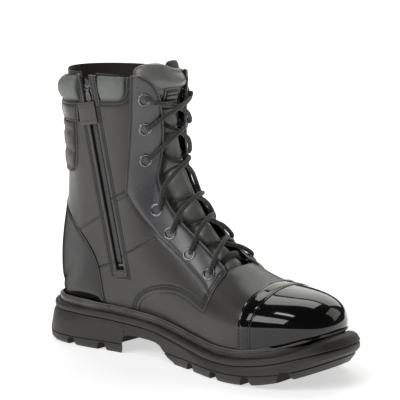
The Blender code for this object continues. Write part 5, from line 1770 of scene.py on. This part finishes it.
def sole():
    """The welt, the midsole band, the lugged outsole and the heel."""
    x = SOLE[:, 0]
    edge, tip, back = feather_inset(x), smooth_step(122, 152, x), smooth_step(-118, -150, x)
    out = 2.6 * tip - 1.6 * back
    welt = skin("welt_strip", welt_loops(edge, tip, smooth_step(-84, -100, x)), WELT_PAINTED_HIGHLIGHT, "midsole_rubber",
                closed=True, sharp=70)
    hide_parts("welt")
    middle = skin("midsole_band", midsole_loops(edge, tip, out), RUBBER, "rubber")
    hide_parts("midsole")
    wall = tread_loops(tip, out)
    outsole, heel = [skin(name, wall, RUBBER, "rubber", sharp=30)
                     for name in ("outsole_rubber", "heel_rubber")]
    behind = prism_cutter("behind", [(-200, FAR_DOWN), (HEEL_BREAST + .3, FAR_DOWN),
                                     (HEEL_BREAST - 3.7, FAR_UP), (-200, FAR_UP)])
    ahead = prism_cutter("ahead", [(HEEL_BREAST, FAR_DOWN), (200, FAR_DOWN), (200, FAR_UP),
                                   (HEEL_BREAST - 4, FAR_UP)])
    carve(outsole, [behind, prism_cutter("waist", WAIST)]
          + [lug_cutter(k, x) for k, x in enumerate(GROOVES_FOREFOOT)])
    carve(heel, [ahead, hollow_cutter()] + [lug_cutter(k, x) for k, x in enumerate(GROOVES_HEEL)])
    for item, node in ((outsole, "outsole"), (heel, "heel_block")):
        item.data.set_sharp_from_angle(angle=math.radians(30))
        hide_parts(node)
    recess_sewing()


def recess_sewing():
    """The row of sewing in the recess under the welt."""
    ring = level(feather_inset(SOLE[:, 0]) * .5 + 1.2, under(5.0))
    rows = sewing_rows(resample(np.vstack([ring, ring[:1]]), 500), (0, 0, 1))
    sew("boot", [rows], "recess_sewing", pitch=4.4, length=3.0, radius=.45)


def inside():
    """Footbed cloth and the hidden boards, which keep their CAD shapes and get finishes."""
    edge = feather_inset(SOLE[:, 0])
    steps = ((14, 4.6), (13.5, 5.2), (13.3, 7.8), (14.2, 8.5), (19, 8.6), (26, 8.5), (34, 8.3))
    loops = [level(edge + extra, under(-rise)) for extra, rise in steps]
    bed = skin("footbed_foam", loops, FOAM, "foam")
    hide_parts("footbed")
    for node, mat in (("shank", STEEL), ("insole_board", BOARD), ("toe_puff", STIFF),
                      ("heel_stiffener", STIFF)):
        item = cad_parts[node]
        item.data.materials.clear()
        item.data.materials.append(mat)


# ------------------------------------------------------------------ camera, floor and lights

EYE, AIM = (.9643, -1.2426, .4211), (0, 0, .13456)
LENS, SENSOR = 171.3, 36
FLOOR_HALF = 14
# name, place, width, height, power, colour
SOFTBOXES = [("back_softbox", (-1.0, 1.7, 1.15), 2.8, 1.3, 16, (1, 1, .93)),
             ("top_back_softbox", (-.55, .95, 2.0), 1.8, .9, 13, (1, 1, .95)),
             ("front_softbox", (-.35, -1.6, 1.2), 1.5, .8, 15, (1, .99, .98)),
             ("overhead_softbox", (-.05, -.75, 1.9), .9, .25, 5, (.95, .96, 1)),
             ("right_softbox", (1.1, 1.6, .9), 1.0, 1.0, 3, (1, 1, .95))]


def aimed(name, data, place, aim):
    """An object of the scene that looks at a point."""
    new = placed(name, data)
    new.location = place
    new.rotation_euler = (Vector(aim) - Vector(place)).to_track_quat("-Z", "Y").to_euler()
    return new


def camera():
    """A long lens in front of the medial side."""
    lens = bpy.data.cameras.new("camera")
    lens.lens, lens.sensor_width, lens.clip_end = LENS, SENSOR, 100
    bpy.context.scene.camera = aimed("camera", lens, EYE, AIM)


def floor():
    """A plain pale floor that glows a little, more so far from the boot."""
    mesh = bpy.data.meshes.new("floor")
    corners = [(u * FLOOR_HALF, v * FLOOR_HALF, 0) for u, v in ((-1, -1), (1, -1), (1, 1), (-1, 1))]
    mesh.from_pydata(corners, [], [(0, 1, 2, 3)])
    mat, tree, shader = node_tree("floor", (.9, .9, .9), .9, specular=.1)
    shader.inputs["Emission Color"].default_value = (1, 1, 1, 1)
    place = add(tree, "ShaderNodeTexCoord").outputs["Object"]
    far = add(tree, "ShaderNodeVectorMath", operation="LENGTH", i0=place)
    glow = remap(tree, far.outputs["Value"], .25, 1.6, .575, .97)
    tree.links.new(glow, shader.inputs["Emission Strength"])
    mesh.materials.append(mat)
    placed("floor", mesh)


def lights():
    """Five softboxes and a dim sky."""
    for name, place, width, height, power, colour in SOFTBOXES:
        light = bpy.data.lights.new(name, "AREA")
        light.shape, light.size, light.size_y = "RECTANGLE", width, height
        light.energy, light.color = power, colour
        aimed(name, light, place, (0, 0, .1))
    world = bpy.data.worlds.new("world")
    world.use_nodes = True
    sky = world.node_tree.nodes["Background"]
    sky.inputs[0].default_value = (.95, .96, 1, 1)
    sky.inputs[1].default_value = .04
    bpy.context.scene.world = world
    bpy.context.scene.view_settings.view_transform = "Standard"


def main():
    upper()
    collar()
    lining()
    tongue()
    eyelets()
    lace()
    zip_parts()
    sole()
    inside()
    for body, runs in STITCH_RUNS.items():
        sew(body, runs)
    camera()
    floor()
    lights()


main()
